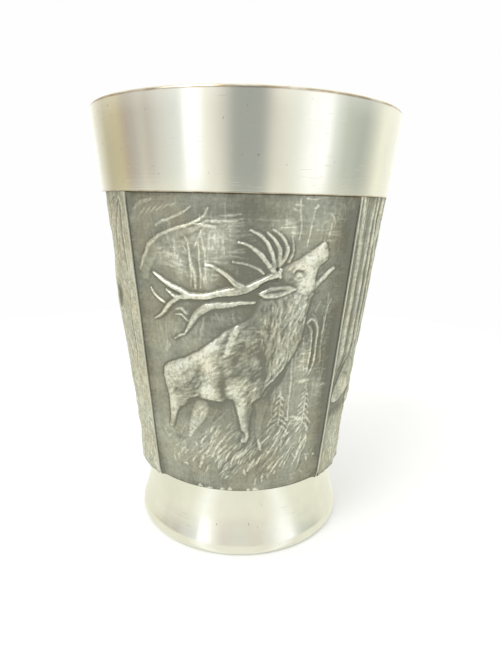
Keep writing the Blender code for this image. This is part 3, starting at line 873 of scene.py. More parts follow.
def head(r):
    """The lower jaw, then the skull over it."""
    jaw = [
        (8.6, 28.9), (9.3, 29.4), (9.9, 30.0), (10.5, 30.45), (11.1, 30.85), (11.6, 30.75), (11.55, 30.4),
        (11.0, 30.1), (10.4, 29.5), (9.9, 28.95), (9.3, 28.5), (8.7, 27.9), (7.8, 27.6),
    ]
    lower = r.figure(jaw, (0.4, -0.02, -0.1), 0.2, 0.6, 0.06, 0.1)
    r.bar([(9.2, 28.85), (10.0, 29.6), (10.6, 30.1), (11.3, 30.6)], [0.4, 0.5, 0.45, 0.4], 0.04, wear_and_shade=0.6,
          within=lower)
    r.bar([(10.4, 30.1), (11.0, 30.6), (11.4, 30.65)], [0.3, 0.4, 0.3], 0.03, wear_and_shade=0.6, within=lower)
    skull = [
        (4.3, 30.5), (5.1, 31.2), (6.1, 31.75), (6.9, 32.15), (7.7, 32.75), (8.4, 33.2), (9.0, 33.65),
        (9.5, 33.9), (9.85, 33.6), (10.0, 33.1), (10.25, 32.5), (10.2, 31.9), (9.9, 31.5), (9.5, 31.2),
        (9.15, 30.7), (8.95, 30.1), (8.9, 29.4), (8.75, 28.6), (8.3, 27.7), (7.6, 27.4), (6.8, 27.9),
        (5.9, 28.3), (4.8, 28.9), (4.2, 29.6),
    ]
    face = r.figure(skull, (0.4, -0.015, -0.06), 0.34, 2.2, 0.1)
    r.humps((
        (8.7, 32.3, 1.7, 0.8, 0.06, 38, 1.7), (9.2, 33.0, 0.6, 0.7, 0.04, 0, 0.6),
        (8.2, 31.0, 0.6, 1.3, 0.0, 0, 0.75), (7.6, 28.9, 1.1, 0.9, 0.08, 30, 1.8),
        (5.6, 30.2, 0.7, 0.9, 0.0, 0, -0.25), (8.6, 31.2, 0.5, 0.6, -0.05, 0, -0.1),
        (9.2, 31.9, 0.3, 0.5, -0.04, 0, -0.3), (7.0, 29.6, 0.5, 0.35, -0.03, 0, -0.2),
        (6.0, 29.4, 0.5, 0.8, -0.05, 0, -0.3), (6.3, 31.2, 0.8, 0.3, 0.03, 25, 0.3),
        (7.0, 31.4, 1.3, 0.6, 0.0, 32, 0.35),
    ), face)
    r.bar([(6.2, 31.3), (7.0, 31.9), (7.8, 32.4), (8.7, 33.2)], [0.14, 0.16, 0.14], -0.05, wear_and_shade=-0.25,
          within=face)
    fur = [(4.6, 30.4), (9.2, 34.3), (10.6, 32.4), (9.0, 29.0), (8.9, 27.0), (6.4, 26.6), (5.2, 28.4)]
    r.strokes(fur, lambda u, v: 40 + 3 * (u - 7) * (v - 30), 220, 0.6, 0.13, 0.025, wear_and_shade=0.35)
    r.strokes(fur, lambda u, v: 34 + 3 * (u - 7) * (v - 30), 160, 0.6, 0.13, -0.025, wear_and_shade=-0.3)
    r.strokes(jaw, 34, 60, 0.5, 0.13, -0.04, wear_and_shade=-0.3)
    # nostril and the mouth's corner
    r.bar([(9.55, 33.1), (9.8, 33.25)], [0.3], -0.12, wear_and_shade=-0.6, within=face)
    r.bar([(8.95, 29.4), (8.8, 29.9), (9.0, 30.6)], [0.3, 0.36, 0.2], -0.08, wear_and_shade=-0.3)


def eye(r):
    """Socket, lids and ball."""
    r.hump(6.65, 30.25, 0.6, 0.45, -0.1, wear_and_shade=-0.3)
    r.bar([(5.8, 30.3), (6.1, 30.85), (6.65, 31.05), (7.2, 30.8)], [0.2, 0.26, 0.2], 0.08, wear_and_shade=0.6)
    r.bar([(6.0, 29.75), (6.45, 29.45), (7.05, 29.7)], [0.16, 0.22, 0.14], 0.07, wear_and_shade=0.7)
    r.bar([(6.45, 30.1), (6.75, 30.1)], [0.6], 0.12, wear_and_shade=0.9)
    r.bar([(6.0, 30.3), (6.5, 30.62), (7.1, 30.4)], [0.16, 0.2, 0.16], -0.1, wear_and_shade=-1.1)


def ear(r):
    """A leaf-shaped cup."""
    leaf = [
        (6.4, 28.3), (5.7, 27.9), (4.7, 27.45), (3.6, 27.2), (2.6, 27.3), (1.9, 27.85), (2.6, 28.35),
        (3.6, 28.7), (4.7, 28.85), (5.8, 28.75),
    ]
    shell = r.figure(leaf, (0.5, -0.07, -0.35), 0.3, 0.45, 0.24, 0.15)
    r.bar([(6.2, 28.3), (5.0, 27.7), (3.7, 27.4), (2.6, 27.5)], [0.3, 0.34, 0.3, 0.24], 0.06, wear_and_shade=0.6,
          within=shell)
    r.bar([(5.6, 28.65), (4.4, 28.7), (3.2, 28.45), (2.4, 28.1)], [0.24, 0.24, 0.22, 0.2], 0.04, wear_and_shade=0.3,
          within=shell)
    r.bar([(5.0, 28.25), (4.3, 28.2), (3.4, 28.0), (2.7, 27.9)], [0.3, 0.46, 0.36, 0.14], -0.16,
          wear_and_shade=-0.5, within=shell)


def stag(r):
    """The roaring stag, from its far legs forwards."""
    far_legs(r)
    body = body_form(r)
    short_coat(r, body)
    throat_mane(r, body)
    antlers(r)
    head(r)
    eye(r)
    ear(r)


def fir(r, u, low, high, spread, tiers):
    """A small fir: a stem with ragged branches that droop to both sides, hung with needles."""
    draw = r.random.uniform
    middle = 0.5 * (low + high)
    r.bar([(u, low), (u + 0.1, middle), (u - 0.05, high)], [0.28, 0.2, 0.1], 0.08, wear_and_shade=0.3)
    for k in range(2 * tiers):
        share = (k + draw(0.7, 1.3)) / (2 * tiers)
        side = 1 if k % 2 else -1
        reach = side * spread * (0.15 + 0.85 * share) * draw(0.55, 1.1)
        drop = abs(reach) * draw(0.6, 1.1)
        root = (u, high - (high - low) * share)
        bend = (u + 0.5 * reach, root[1] - 0.3 * drop)
        tip = (u + reach, root[1] - drop)
        r.bar([root, bend, tip], [0.2, 0.26, 0.12], 0.09, wear_and_shade=draw(0.15, 0.5))
        for along in (0.3, 0.55, 0.8):
            a, b = u + along * reach, root[1] - along**1.4 * drop
            needle = [(a, b), (a + 0.25 * side * draw(0, 1), b - draw(0.3, 0.6))]
            r.bar(needle, [0.2, 0.1], 0.06, wear_and_shade=draw(0.1, 0.4))
        r.bar([(bend[0], bend[1] - 0.4), (tip[0], tip[1] - 0.4)], [0.2, 0.1], -0.05, wear_and_shade=-0.25)


def meadow_lean(u, v):
    """Which way the clearing's grass leans at a place, in degrees."""
    return 62 + 0.8 * u + 6 * math.sin(1.3 * u)


def meadow(r):
    """The clearing: two firs, a thin stem and grass."""
    ground = [
        (-8.5, 3.2), (-5, 2.2), (0, 1.6), (12, 1.6), (12.4, 4.8), (9.5, 9.6), (4, 10.0), (2, 7.5),
        (-1, 9.2), (-4.2, 11.4), (-7.5, 8.4), (-11, 7.4), (-10.6, 3.6),
    ]
    r.height += 0.005 * r.noise(0.35) * np.clip((12 - r.v) / 4, 0, 1)
    fir(r, 5.6, 10.0, 14.9, 1.9, 6)
    fir(r, 9.4, 9.8, 15.7, 1.9, 8)
    r.bar([(6.8, 19.4), (6.85, 16.4), (6.9, 13.4), (7.05, 12.2), (6.95, 10.6)], [0.14, 0.26, 0.24, 0.2],
          0.08, wear_and_shade=0.6)
    r.strokes(box_region(6.2, 9.0, 9.8, 11.2), -10, 36, 1.0, 0.22, 0.07, wear_and_shade=0.5)
    r.strokes(ground, meadow_lean, 130, 1.8, 0.2, -0.035, bend=-0.45, wear_and_shade=-0.2)
    r.strokes(ground, meadow_lean, 150, 1.8, 0.18, 0.045, bend=-0.5, wear_and_shade=0.35)
    tufts = [
        (-7, 4.6), (-3, 2.4), (0, 3.6), (2.6, 2.6), (10.6, 3.0), (10.4, 6.4), (8, 9.4), (4, 7.6),
        (0.4, 7.6), (-1.6, 8.9), (-5, 9.2),
    ]
    r.strokes(tufts, meadow_lean, 90, 2.2, 0.22, 0.07, bend=-0.5, wear_and_shade=0.8)
    for u in np.arange(-7.2, -4.6, 0.32):
        r.bar([(u, 2.6), (u + 0.05, 1.8), (u + 0.15, 0.9)], [0.1, 0.16, 0.1], 0.03, wear_and_shade=0.4)


def hammered_edge(r):
    """The lower edge, hammered bright in places against the foot."""
    for left, right in ((-6.6, -5.6), (-5.3, -4.0), (-2.6, -1.9), (-1.5, -0.9), (1.5, 2.1), (2.5, 3.1)):
        middle = (left + r.random.uniform(0.3, 0.7) * (right - left), r.random.uniform(0.1, 0.4))
        r.bar([(left, 0.0), middle, (right, 0.05)], [0.1, 0.35, 0.1], 0.08, wear_and_shade=2.4, smooth=False)


def blades(r):
    """The blades of grass that stand out."""
    for points, wide in (
        ([(-4.7, 5.4), (-4.1, 6.6), (-3.3, 7.9)], 0.4), ([(-3.7, 5.2), (-3.1, 6.9), (-2.3, 8.0)], 0.34),
        ([(-3.0, 4.8), (-2.7, 6.2), (-1.6, 7.4)], 0.3), ([(-1.8, 4.6), (-1.6, 5.3), (-1.0, 6.4)], 0.4),
        ([(-1.1, 3.8), (-0.8, 4.9), (0.0, 6.4)], 0.26), ([(0.0, 4.3), (0.2, 4.9), (0.4, 5.6)], 0.24),
        ([(1.4, 3.2), (1.8, 4.0), (2.45, 5.1)], 0.62), ([(0.9, 3.4), (0.95, 2.9), (1.2, 2.6)], 0.5),
        ([(-2.5, 2.0), (-2.2, 2.6), (-1.8, 3.0)], 0.26), ([(-2.0, 1.9), (-1.6, 2.3), (-1.3, 2.45)], 0.26),
        ([(-5.9, 3.2), (-5.6, 4.2), (-5.1, 5.0)], 0.6), ([(-4.9, 2.7), (-4.7, 3.3), (-4.3, 3.9)], 0.24),
        ([(-7.1, 3.9), (-6.8, 4.5), (-6.4, 5.1)], 0.26), ([(-8.2, 5.0), (-8.0, 5.4), (-7.6, 5.7)], 0.36),
        ([(-8.6, 3.3), (-8.3, 3.4), (-8.0, 3.1)], 0.34), ([(-10.5, 4.5), (-10.5, 3.9), (-10.3, 3.2)], 0.26),
        ([(-9.4, 4.8), (-9.6, 4.3), (-9.5, 3.7)], 0.24), ([(-5.6, 7.0), (-5.3, 7.7), (-4.6, 8.4)], 0.36),
        ([(-6.5, 7.1), (-6.3, 6.7), (-6.2, 6.4)], 0.34), ([(-3.9, 9.1), (-3.6, 9.6), (-3.3, 9.9)], 0.3),
        ([(9.6, 3.1), (9.7, 4.0), (10.0, 4.9)], 0.4), ([(10.8, 4.6), (11.2, 4.0), (11.4, 3.2)], 0.36),
        ([(9.75, 5.8), (9.7, 6.5), (9.65, 7.0)], 0.32), ([(10.2, 9.2), (10.5, 8.7), (10.8, 8.2)], 0.6),
        ([(10.4, 7.6), (10.6, 7.2), (10.6, 6.7)], 0.5), ([(8.4, 5.2), (8.8, 4.7), (9.2, 4.2)], 0.36),
        ([(7.2, 6.9), (7.5, 7.5), (7.9, 8.0)], 0.4), ([(6.6, 8.2), (7.0, 8.5), (7.5, 8.6)], 0.3),
        ([(6.3, 6.1), (6.7, 6.6), (7.0, 7.0)], 0.26), ([(4.1, 6.3), (4.3, 6.1), (4.6, 6.1)], 0.36),
        ([(12.5, 4.2), (12.8, 4.0), (13.0, 3.85)], 0.42), ([(11.3, 4.5), (11.7, 4.4), (12.0, 4.3)], 0.2),
        ([(8.3, 1.75), (8.6, 1.65), (8.8, 1.6)], 0.18), ([(10.2, 2.2), (10.5, 1.95), (10.9, 1.6)], 0.22),
        ([(4.5, 2.0), (4.5, 2.5), (4.7, 2.9)], 0.26), ([(5.5, 2.4), (5.7, 2.8), (5.6, 3.0)], 0.26),
        ([(3.75, 1.4), (3.7, 2.0), (3.85, 2.8)], 0.26), ([(2.7, 0.9), (2.7, 1.5), (2.8, 2.1)], 0.26),
        ([(6.4, 3.6), (6.6, 4.1), (6.9, 4.4)], 0.26), ([(7.1, 3.8), (7.3, 4.1), (7.4, 4.2)], 0.34),
    ):
        r.bar(points, [wide * 0.5, wide, wide * 0.3], 0.12, wear_and_shade=0.7)


def hoofs(r):
    """The hind hoofs, sunk in the grass."""
    r.hump(-11.0, 8.6, 0.9, 0.7, 0.08, wear_and_shade=0.3)
    r.bar([(-11.9, 8.0), (-11.7, 7.3), (-11.1, 7.0), (-10.5, 7.6), (-10.3, 8.4)],
          [0.2, 0.3, 0.3, 0.24, 0.2], 0.06, wear_and_shade=0.3)
    r.hump(-9.0, 7.3, 0.7, 0.4, -0.08, wear_and_shade=-0.4)


def handling_and_shade(r):
    """Patina left uneven by handling, with some rows of painted shade, as rows of u, v, across, up and
    wear.
    """
    for u, v, across, up, wear_and_shade in (
        # painted shade: the dark rows at v 37 and 38.4 under the rim, which also stand for a painted
        # reflection of the dark room in front; the narrow dark strip at u 13.2 beside the corner strip; and
        # the dark patches under the belly at (-3.4, 12.6) and behind the elbow at (-1.8, 15.8)
        (-1.0, 37.0, 5.0, 1.8, -0.5), (7.2, 33.0, 2.2, 5.0, 0.25), (-12.3, 16.0, 1.6, 13.0, 0.15),
        (-10.5, 5.5, 3.2, 3.8, 0.45), (-5.0, 17.0, 2.6, 3.0, 0.2), (11.0, 23.0, 2.0, 6.0, -0.45),
        (-7.0, 1.4, 2.4, 1.8, -0.3), (-1.0, 9.6, 3.0, 2.6, -0.15), (12.6, 36.0, 1.4, 4.0, -0.3),
        (-3.0, 24.2, 2.2, 2.6, -0.3), (5.0, 31.4, 1.6, 1.2, 0.3), (8.0, 29.6, 2.6, 2.0, 0.2),
        (1.5, 5.8, 2.6, 2.0, -0.2), (9.2, 9.5, 1.8, 4.6, 0.3), (13.2, 18.0, 0.8, 22.0, -0.35),
        (-8.8, 34.0, 2.2, 1.6, -0.45), (0.2, 33.0, 1.6, 2.6, -0.45), (1.6, 28.2, 4.0, 4.6, -0.35),
        (6.2, 25.2, 1.3, 2.4, 0.35), (8.6, 22.0, 1.4, 3.6, -0.3), (-2.8, 19.0, 2.2, 1.8, 0.35),
        (-10.2, 20.0, 1.4, 2.4, 0.3), (2.2, 17.0, 1.8, 9.0, -0.2), (12.0, 31.0, 1.2, 4.0, -0.2),
        (-5.0, 7.0, 3.0, 2.6, 0.2), (-3.4, 12.6, 2.2, 1.4, -0.25), (1.0, 38.4, 1.8, 1.4, -0.3),
        (-3.0, 19.0, 1.6, 1.4, 0.25), (-8.0, 14.0, 1.4, 1.4, 0.3), (9.0, 13.0, 1.6, 1.6, 0.17),
        (4.0, 14.0, 1.2, 1.4, -0.22), (5.0, 2.0, 1.8, 1.2, -0.17), (12.0, 18.0, 1.2, 6.0, -0.2),
        (-5.0, 34.0, 1.5, 1.4, 0.2), (-10.0, 32.0, 1.5, 1.5, -0.18), (0.5, 22.0, 1.4, 1.2, 0.25),
        (4.0, 22.0, 1.2, 1.4, 0.25), (-1.8, 15.8, 2.6, 1.6, -0.24), (8.0, 20.0, 1.0, 1.6, -0.2),
        (-2.0, 8.0, 1.2, 1.0, 0.2), (3.4, 5.0, 1.6, 1.6, -0.2), (10.0, 38.0, 1.2, 1.0, -0.2),
        (8.0, 7.0, 1.0, 1.6, 0.18),
    ):
        r.hump(u, v, across, up, 0.0, wear_and_shade=wear_and_shade)


def sunk_edges(r):
    """The ground sinks beside the corner strips and darkens there: patina in the corner, with painted shade
    beside the strip.
    """
    from_edge = PANEL_WIDTH / 2 - np.abs(r.u)
    r.height *= np.clip((from_edge - 0.2) / 0.9, 0, 1)
    # painted shade beside the corner strips, together with patina in the corner
    r.wear_and_shade -= 0.6 * np.exp(-((from_edge / 0.5) ** 2))


def stag_panel():
    """A roaring stag in a clearing."""
    r = Relief(7)
    for draw in (
        far_light, arching_bough, thin_trees, thin_stems, knotted_trunk,
        stag, meadow, hammered_edge, blades, hoofs, handling_and_shade, sunk_edges,
    ):
        draw(r)
    return r


# ---------------------------------------------------------------- the other three panels

def bark(r, middle, half, low):
    """A broad old trunk: a rounded swelling with long upright flutes, a little crooked."""
    share = np.clip(np.abs(r.u - middle) / half, 0, 1)
    tall = np.clip((r.v - low) / 2.5, 0, 1)
    r.height += 0.62 * np.sqrt(1 - share**2) * tall
    crooked = r.u - middle + half + 0.26 * r.noise(0.9, 5.0)
    flutes = -np.cos(crooked * math.tau / 1.7)
    ridges = 0.9 * flutes + 0.2 * r.strands(0.14, 4.5, 0.02, 0.06)
    fade = tall * np.clip(8 * (1 - share), 0, 1)
    r.height += 0.1 * ridges * fade
    r.wear_and_shade += (0.5 * ridges + 0.25) * fade
    trunk = box_region(middle - half, middle + half, low, 39)
    r.strokes(trunk, 89, 40, 3.4, 0.24, -0.06, wear_and_shade=-0.35)
    r.strokes(trunk, 89, 40, 3.2, 0.24, 0.05, wear_and_shade=0.5)


def lit_patches(r, places):
    """Light between far trunks, as cross-hatched patches."""
    for place in places:
        region = box_region(*place)
        r.strokes(region, 0, 60, 1.4, 0.13, 0.035, wear_and_shade=0.4)
        r.strokes(region, 90, 40, 1.4, 0.13, 0.03, wear_and_shade=0.35)


def leaf_spray(r, u, v, angle, length, leaves, size):
    """A twig with narrow leaves to both sides."""
    heading = math.radians(angle)
    tip = beyond((u, v), length, heading)
    twig = [(u, v), halfway((u, v), tip, up=0.08 * length), tip]
    r.bar(twig, [0.3, 0.22, 0.12], 0.14, 0.04, wear_and_shade=0.4)
    for k in range(leaves):
        share = (k + 1) / leaves
        root = (u + (tip[0] - u) * share, v + (tip[1] - v) * share)
        for side in (-1, 1):
            end = beyond(root, size, heading + side * r.random.uniform(0.7, 1.1))
            leaf = [root, halfway(root, end, up=0.1), end]
            r.bar(leaf, [0.1, 0.5 * size, 0.1], 0.13, 0.05, wear_and_shade=0.4)


def ground_plants(r, region, lean, blades):
    """Rough grass: dark blades behind, light ones before them, and a few strong tufts."""
    r.strokes(region, lean, blades, 1.7, 0.22, -0.05, bend=-0.35, wear_and_shade=-0.12)
    r.strokes(region, lean, int(1.2 * blades), 1.6, 0.2, 0.06, bend=-0.4, wear_and_shade=0.22)
    r.strokes(region, lean, blades // 2, 1.7, 0.26, 0.09, bend=-0.4, wear_and_shade=0.5)


def far_wood(r, low=20, high=38):
    """Faint hatching of a distant wood."""
    r.height += 0.008 * r.noise(0.5)
    for angle, count in ((90, 500), (0, 400)):
        r.strokes(box_region(-12.5, 12.5, low, high), angle, count, 1.2, 0.12, 0.016, wear_and_shade=0.08)


def far_trees(r, places):
    """Thin far trees with short branches; each place is u, low, high and width."""
    for u, low, high, wide in places:
        r.bar([(u, low), (u + 0.15, 0.5 * (low + high)), (u - 0.1, high)], [wide, 0.7 * wide], 0.09,
              wear_and_shade=0.3)
        r.bar([(u, low + 2), (u - 0.2, low - 4)], [0.8 * wide, 0.3 * wide], 0.05, wear_and_shade=0.15)
        for side in (-1, 1):
            for share in (0.55, 0.75, 0.9):
                v = low + (high - low) * share
                reach = side * (1.6 - share)
                r.bar([(u, v), (u + 0.6 * reach, v + 0.7), (u + reach, v + 1.0)], [0.22, 0.12], 0.07,
                      wear_and_shade=0.25)


def leg(r, points, widths):
    """A far leg, in low relief."""
    r.bar(points, widths, 0.16, 0.0, wear_and_shade=0.25)


def boulder(r):
    """A boulder at the oak's foot, with rough growth below."""
    r.hump(-8.5, 0.4, 7.5, 3.0, 0.6, wear_and_shade=0.2)
    shape = [
        (-13.2, 12.0), (-12.4, 14.2), (-11.0, 16.0), (-9.4, 18.2), (-7.6, 19.2), (-5.9, 18.2),
        (-5.3, 16.0), (-5.8, 13.8), (-7.4, 12.2), (-9.6, 11.6), (-11.6, 11.2),
    ]
    rock = r.mass(shape, 0.5, 2.6, 0.16, wear_and_shade=0.25)
    r.hump(-10.0, 13.4, 1.4, 1.3, 0.0, turn=35, wear_and_shade=0.6, within=rock)
    r.bar([(-10.9, 15.6), (-9.6, 15.0), (-8.8, 13.8)], [0.2, 0.4, 0.2], -0.06, wear_and_shade=-0.3, within=rock)
    r.bar([(-9.4, 17.6), (-8.0, 16.6), (-7.2, 14.6)], [0.2, 0.4, 0.2], -0.05, wear_and_shade=-0.3, within=rock)
    r.strokes(shape, 62, 90, 0.9, 0.16, 0.02, wear_and_shade=0.2, within=rock)
    r.strokes(shape, 58, 60, 0.9, 0.16, -0.03, wear_and_shade=-0.25, within=rock)
    r.bar([(-13.4, 14.4), (-12.0, 16.6), (-10.2, 19.0), (-7.6, 20.2)], [0.4, 0.7, 0.4], -0.08, wear_and_shade=-0.3)
    r.hump(-10.6, 9.8, 3.0, 1.0, -0.1, wear_and_shade=-0.6)
    r.hump(-9.5, 4.6, 3.6, 4.4, 0.0, wear_and_shade=0.75)


def oak_bough(r):
    """A bough that reaches across the sky, with leaves."""
    bough = [(-9.0, 33.5), (-6.5, 34.6), (-3.5, 34.9), (-0.5, 35.9), (2.5, 36.2), (5.5, 37.2)]
    r.bar(bough, [1.3, 0.9, 0.7, 0.5, 0.3], 0.22, 0.05, wear_and_shade=0.5)
    for u, v, angle, length in (
        (-6.5, 34.6, 70, 2.6), (-5.0, 34.8, -70, 3.0), (-3.0, 35.0, 55, 2.4), (-1.6, 35.5, -60, 3.0),
        (0.6, 36.0, 60, 2.0), (1.6, 36.1, -65, 2.8), (3.6, 36.5, -50, 2.6), (5.2, 37.1, -20, 3.0),
    ):
        leaf_spray(r, u, v, angle, length, 4, 0.95)


def boar(r):
    """The boar's trunk, legs, coat and crest."""
    leg(r, [(8.0, 11.5), (7.6, 9.6), (8.0, 8.2), (7.7, 6.6)], [2.6, 1.2, 0.8, 0.7])
    leg(r, [(-0.6, 11.0), (-1.0, 9.0), (-1.3, 7.6), (-1.3, 6.6)], [2.0, 1.2, 0.8, 0.7])
    outline = [
        (-6.7, 10.2), (-6.6, 11.1), (-5.8, 11.7), (-4.8, 12.4), (-4.0, 13.2), (-3.2, 14.3), (-2.2, 15.5),
        (-1.0, 17.0), (0.4, 18.3), (2.0, 19.0), (4.0, 18.8), (6.0, 18.1), (8.0, 17.0), (9.6, 15.7),
        (10.4, 14.0), (10.5, 12.1), (10.2, 10.6), (10.5, 9.1), (10.2, 7.6), (10.4, 6.4), (9.3, 6.3),
        (9.2, 7.6), (9.0, 9.0), (8.0, 10.2), (6.4, 10.3), (4.2, 9.8), (2.2, 9.5), (1.5, 9.1),
        (1.5, 7.6), (1.6, 6.4), (0.4, 6.3), (0.2, 7.6), (-0.2, 9.1), (-1.2, 9.8), (-2.6, 9.6),
        (-4.2, 9.2), (-5.6, 9.2), (-6.4, 9.6),
    ]
    body = r.figure(outline, (0.5, -0.06, -0.3), 0.4, 2.4, 0.08)
    r.humps((
        (2.0, 15.0, 2.6, 3.4, 0.1, 10, 0.4), (8.2, 13.6, 1.9, 2.8, 0.1, 0, 0.4),
        (5.2, 12.0, 2.0, 1.6, -0.06, 0, -0.2), (-0.8, 13.2, 0.9, 2.6, -0.08, 15, -0.35),
        (-3.4, 11.6, 1.5, 1.2, 0.07, 20, 0.4), (-6.2, 10.4, 0.5, 0.9, 0.04, 0, 0.5),
        (5.6, 14.4, 0.8, 3.2, -0.07, 12, -0.3), (9.6, 8.4, 0.6, 1.6, 0.05, 0, 0.5),
        (0.9, 8.0, 0.5, 1.4, 0.05, 0, 0.5), (3.6, 18.0, 3.0, 0.6, 0.04, 10, 0.5),
    ), body)
    coat = [(-3, 9), (-3, 14), (2, 19.4), (10, 16), (10.6, 9), (5, 9)]
    r.strokes(coat, lambda u, v: 320 - 3 * u, 620, 1.1, 0.16, 0.05, bend=-0.2, wear_and_shade=0.2, within=body)
    r.strokes(coat, lambda u, v: 312 - 3 * u, 420, 1.0, 0.16, -0.04, bend=-0.2, wear_and_shade=-0.15, within=body)
    mane = [
        (-2.6, 14.8), (0.2, 17.6), (2.0, 18.6), (6.5, 17.4), (6.8, 18.4), (2.0, 19.8), (-0.4, 18.6),
        (-3.0, 15.6),
    ]
    r.strokes(mane, lambda u, v: 62 - 6 * u, 130, 1.3, 0.2, 0.1, bend=-0.4, wear_and_shade=0.4)
    r.strokes([(-6, 9.4), (-6, 11.4), (-3.4, 13.6), (-2, 10)], 200, 120, 0.6, 0.13, 0.03, wear_and_shade=0.15,
              within=body)


def boar_head(r):
    """Ear, eye, mouth, tusk and snout."""
    r.bar([(-2.8, 14.4), (-2.3, 15.8), (-1.4, 17.0)], [0.9, 1.1, 0.2], 0.2, 0.4, wear_and_shade=0.5)
    r.bar([(-2.5, 14.8), (-2.1, 15.7), (-1.6, 16.5)], [0.3, 0.4, 0.1], -0.12, wear_and_shade=-0.4)
    r.bar([(-4.3, 12.4), (-3.8, 12.6)], [0.4, 0.3], -0.12, wear_and_shade=-0.5)
    r.bar([(-4.15, 12.55), (-4.0, 12.58)], [0.2], 0.1, wear_and_shade=0.6)
    r.bar([(-6.5, 9.9), (-5.4, 9.9), (-4.6, 10.4)], [0.2, 0.24, 0.16], -0.12, wear_and_shade=-0.5)
    r.bar([(-5.6, 10.0), (-5.7, 10.7), (-5.3, 11.3)], [0.4, 0.34, 0.12], 0.22, 0.36, wear_and_shade=0.9)
    r.bar([(-6.6, 10.3), (-6.4, 10.8)], [0.4], 0.06, wear_and_shade=0.6)


def boar_panel():
    """A wild boar beside an old oak."""
    r = Relief(21, (1.4, 0.3))
    far_wood(r)
    far_trees(r, [(0.5, 21, 36.5, 0.6), (5.2, 20, 38, 0.9), (9.5, 19, 37.5, 0.7)])
    lit_patches(r, [(1, 4.5, 27, 34), (6, 9, 22, 28)])
    bark(r, -8.6, 6.4, 16.5)
    boulder(r)
    oak_bough(r)
    boar(r)
    boar_head(r)
    r.bar([(10.2, 14.6), (11.0, 13.6), (11.2, 12.4), (11.0, 11.4)], [0.5, 0.3, 0.24, 0.5], 0.2, 0.04,
          wear_and_shade=0.5)
    fir(r, 11.9, 9.0, 14.0, 1.2, 5)
    ground = [(-13, 1.0), (13, 1.0), (13, 8.6), (9.5, 7.0), (2, 7.4), (-3, 7.6), (-8, 9.6), (-13, 8.6)]
    ground_plants(r, ground, lambda u, v: 66 - 1.2 * u + 8 * math.sin(1.1 * u), 260)
    return r


def far_hills(r):
    """Wooded hills against the sky."""
    ridge = [
        (-13, 25), (-9, 28), (-6.5, 31.2), (-4, 29), (0, 30), (4, 27.5), (8, 30.5), (11, 27.5),
        (13.4, 26.5), (13.4, 15), (-13, 15),
    ]
    hills = r.mass(ridge, 0.12, 0.5, 0.0, wear_and_shade=-0.1)
    r.strokes(ridge, lambda u, v: 300 if math.sin(0.8 * u) > 0 else 240, 170, 1.6, 0.2, 0.03, wear_and_shade=0.25,
              within=hills)


def pine_tree(r):
    """The pine at the right, and the boughs that it spreads over the bird."""
    pine = [(12.9, 12.5), (12.8, 20.0), (12.4, 25), (12.6, 30), (12.2, 35), (12.8, 39)]
    r.bar(pine, [2.6, 2.3, 2.0, 1.7, 1.5, 1.3], 0.3, 0.02, wear_and_shade=0.25)
    r.strokes(box_region(11.4, 13.5, 13, 39), 88, 120, 1.6, 0.22, 0.07, wear_and_shade=0.25)
    for points in (
        [(12.4, 33.5), (9.0, 34.6), (5.5, 34.4), (2.0, 35.4), (-1.0, 35.2)],
        [(12.4, 36.6), (8.5, 37.4), (5.0, 37.2), (0.5, 38.0), (-4.5, 37.4)],
        [(12.6, 30.0), (10.4, 31.2), (8.6, 31.0)],
    ):
        r.bar(points, [0.7, 0.5, 0.36, 0.2], 0.2, 0.05, wear_and_shade=0.45)
        line = spline(points)
        for u, v in line[4::2]:
            for lean in (35, 80, 125, 215, 270, 320):
                angle = math.radians(lean + r.random.normal(0, 9))
                tip = beyond((u, v), r.random.uniform(0.7, 1.2), angle)
                r.bar([(u, v), tip], [0.16, 0.1], 0.08, 0.03, wear_and_shade=0.3)


def fallen_trunk(r):
    """The fallen trunk, its grain and a knot."""
    log = [(-13.0, 10.4), (-7, 11.2), (0, 11.0), (7, 11.8), (13.2, 11.4)]
    r.bar(log, [3.0, 2.7, 2.8, 2.4, 2.6], 0.36, 0.02, wear_and_shade=0.1)
    grain = [(-13, 9.6), (-13, 11.8), (13, 12.6), (13, 10.2)]
    for count, height, wear_and_shade in ((240, 0.05, 0.25), (160, -0.06, -0.25)):
        r.strokes(grain, lambda u, v: 2 + 8 * math.sin(u), count, 2.2, 0.2, height, wear_and_shade=wear_and_shade)
    r.hump(-8.5, 11.2, 0.9, 0.6, 0.12, wear_and_shade=0.4)
    r.hump(-8.5, 11.2, 0.35, 0.25, -0.16, wear_and_shade=-0.6)


def tail_fan(r):
    """The spread tail: feathers with a quill each, and gaps between them."""
    centre = (3.0, 18.6)
    for k in range(13):
        angle = math.radians(-14 + 10.0 * k)
        gap = math.radians(-9 + 10.0 * k)
        root, tip = beyond(centre, 0.5, angle), beyond(centre, 7.4, angle)
        feather = [root, halfway(root, tip), tip]
        r.bar(feather, [0.5, 1.0, 1.5], 0.2, 0.1 + 0.012 * (k % 2), wear_and_shade=0.2)
        r.bar(feather, [0.14, 0.16, 0.1], 0.05, wear_and_shade=0.4)
        r.bar([beyond(tip, -0.9, angle), tip], [0.9], 0.02, wear_and_shade=0.35)
        r.bar([beyond(centre, 2, gap), beyond(centre, 7.0, gap)], [0.16, 0.2], -0.1, wear_and_shade=-0.4)


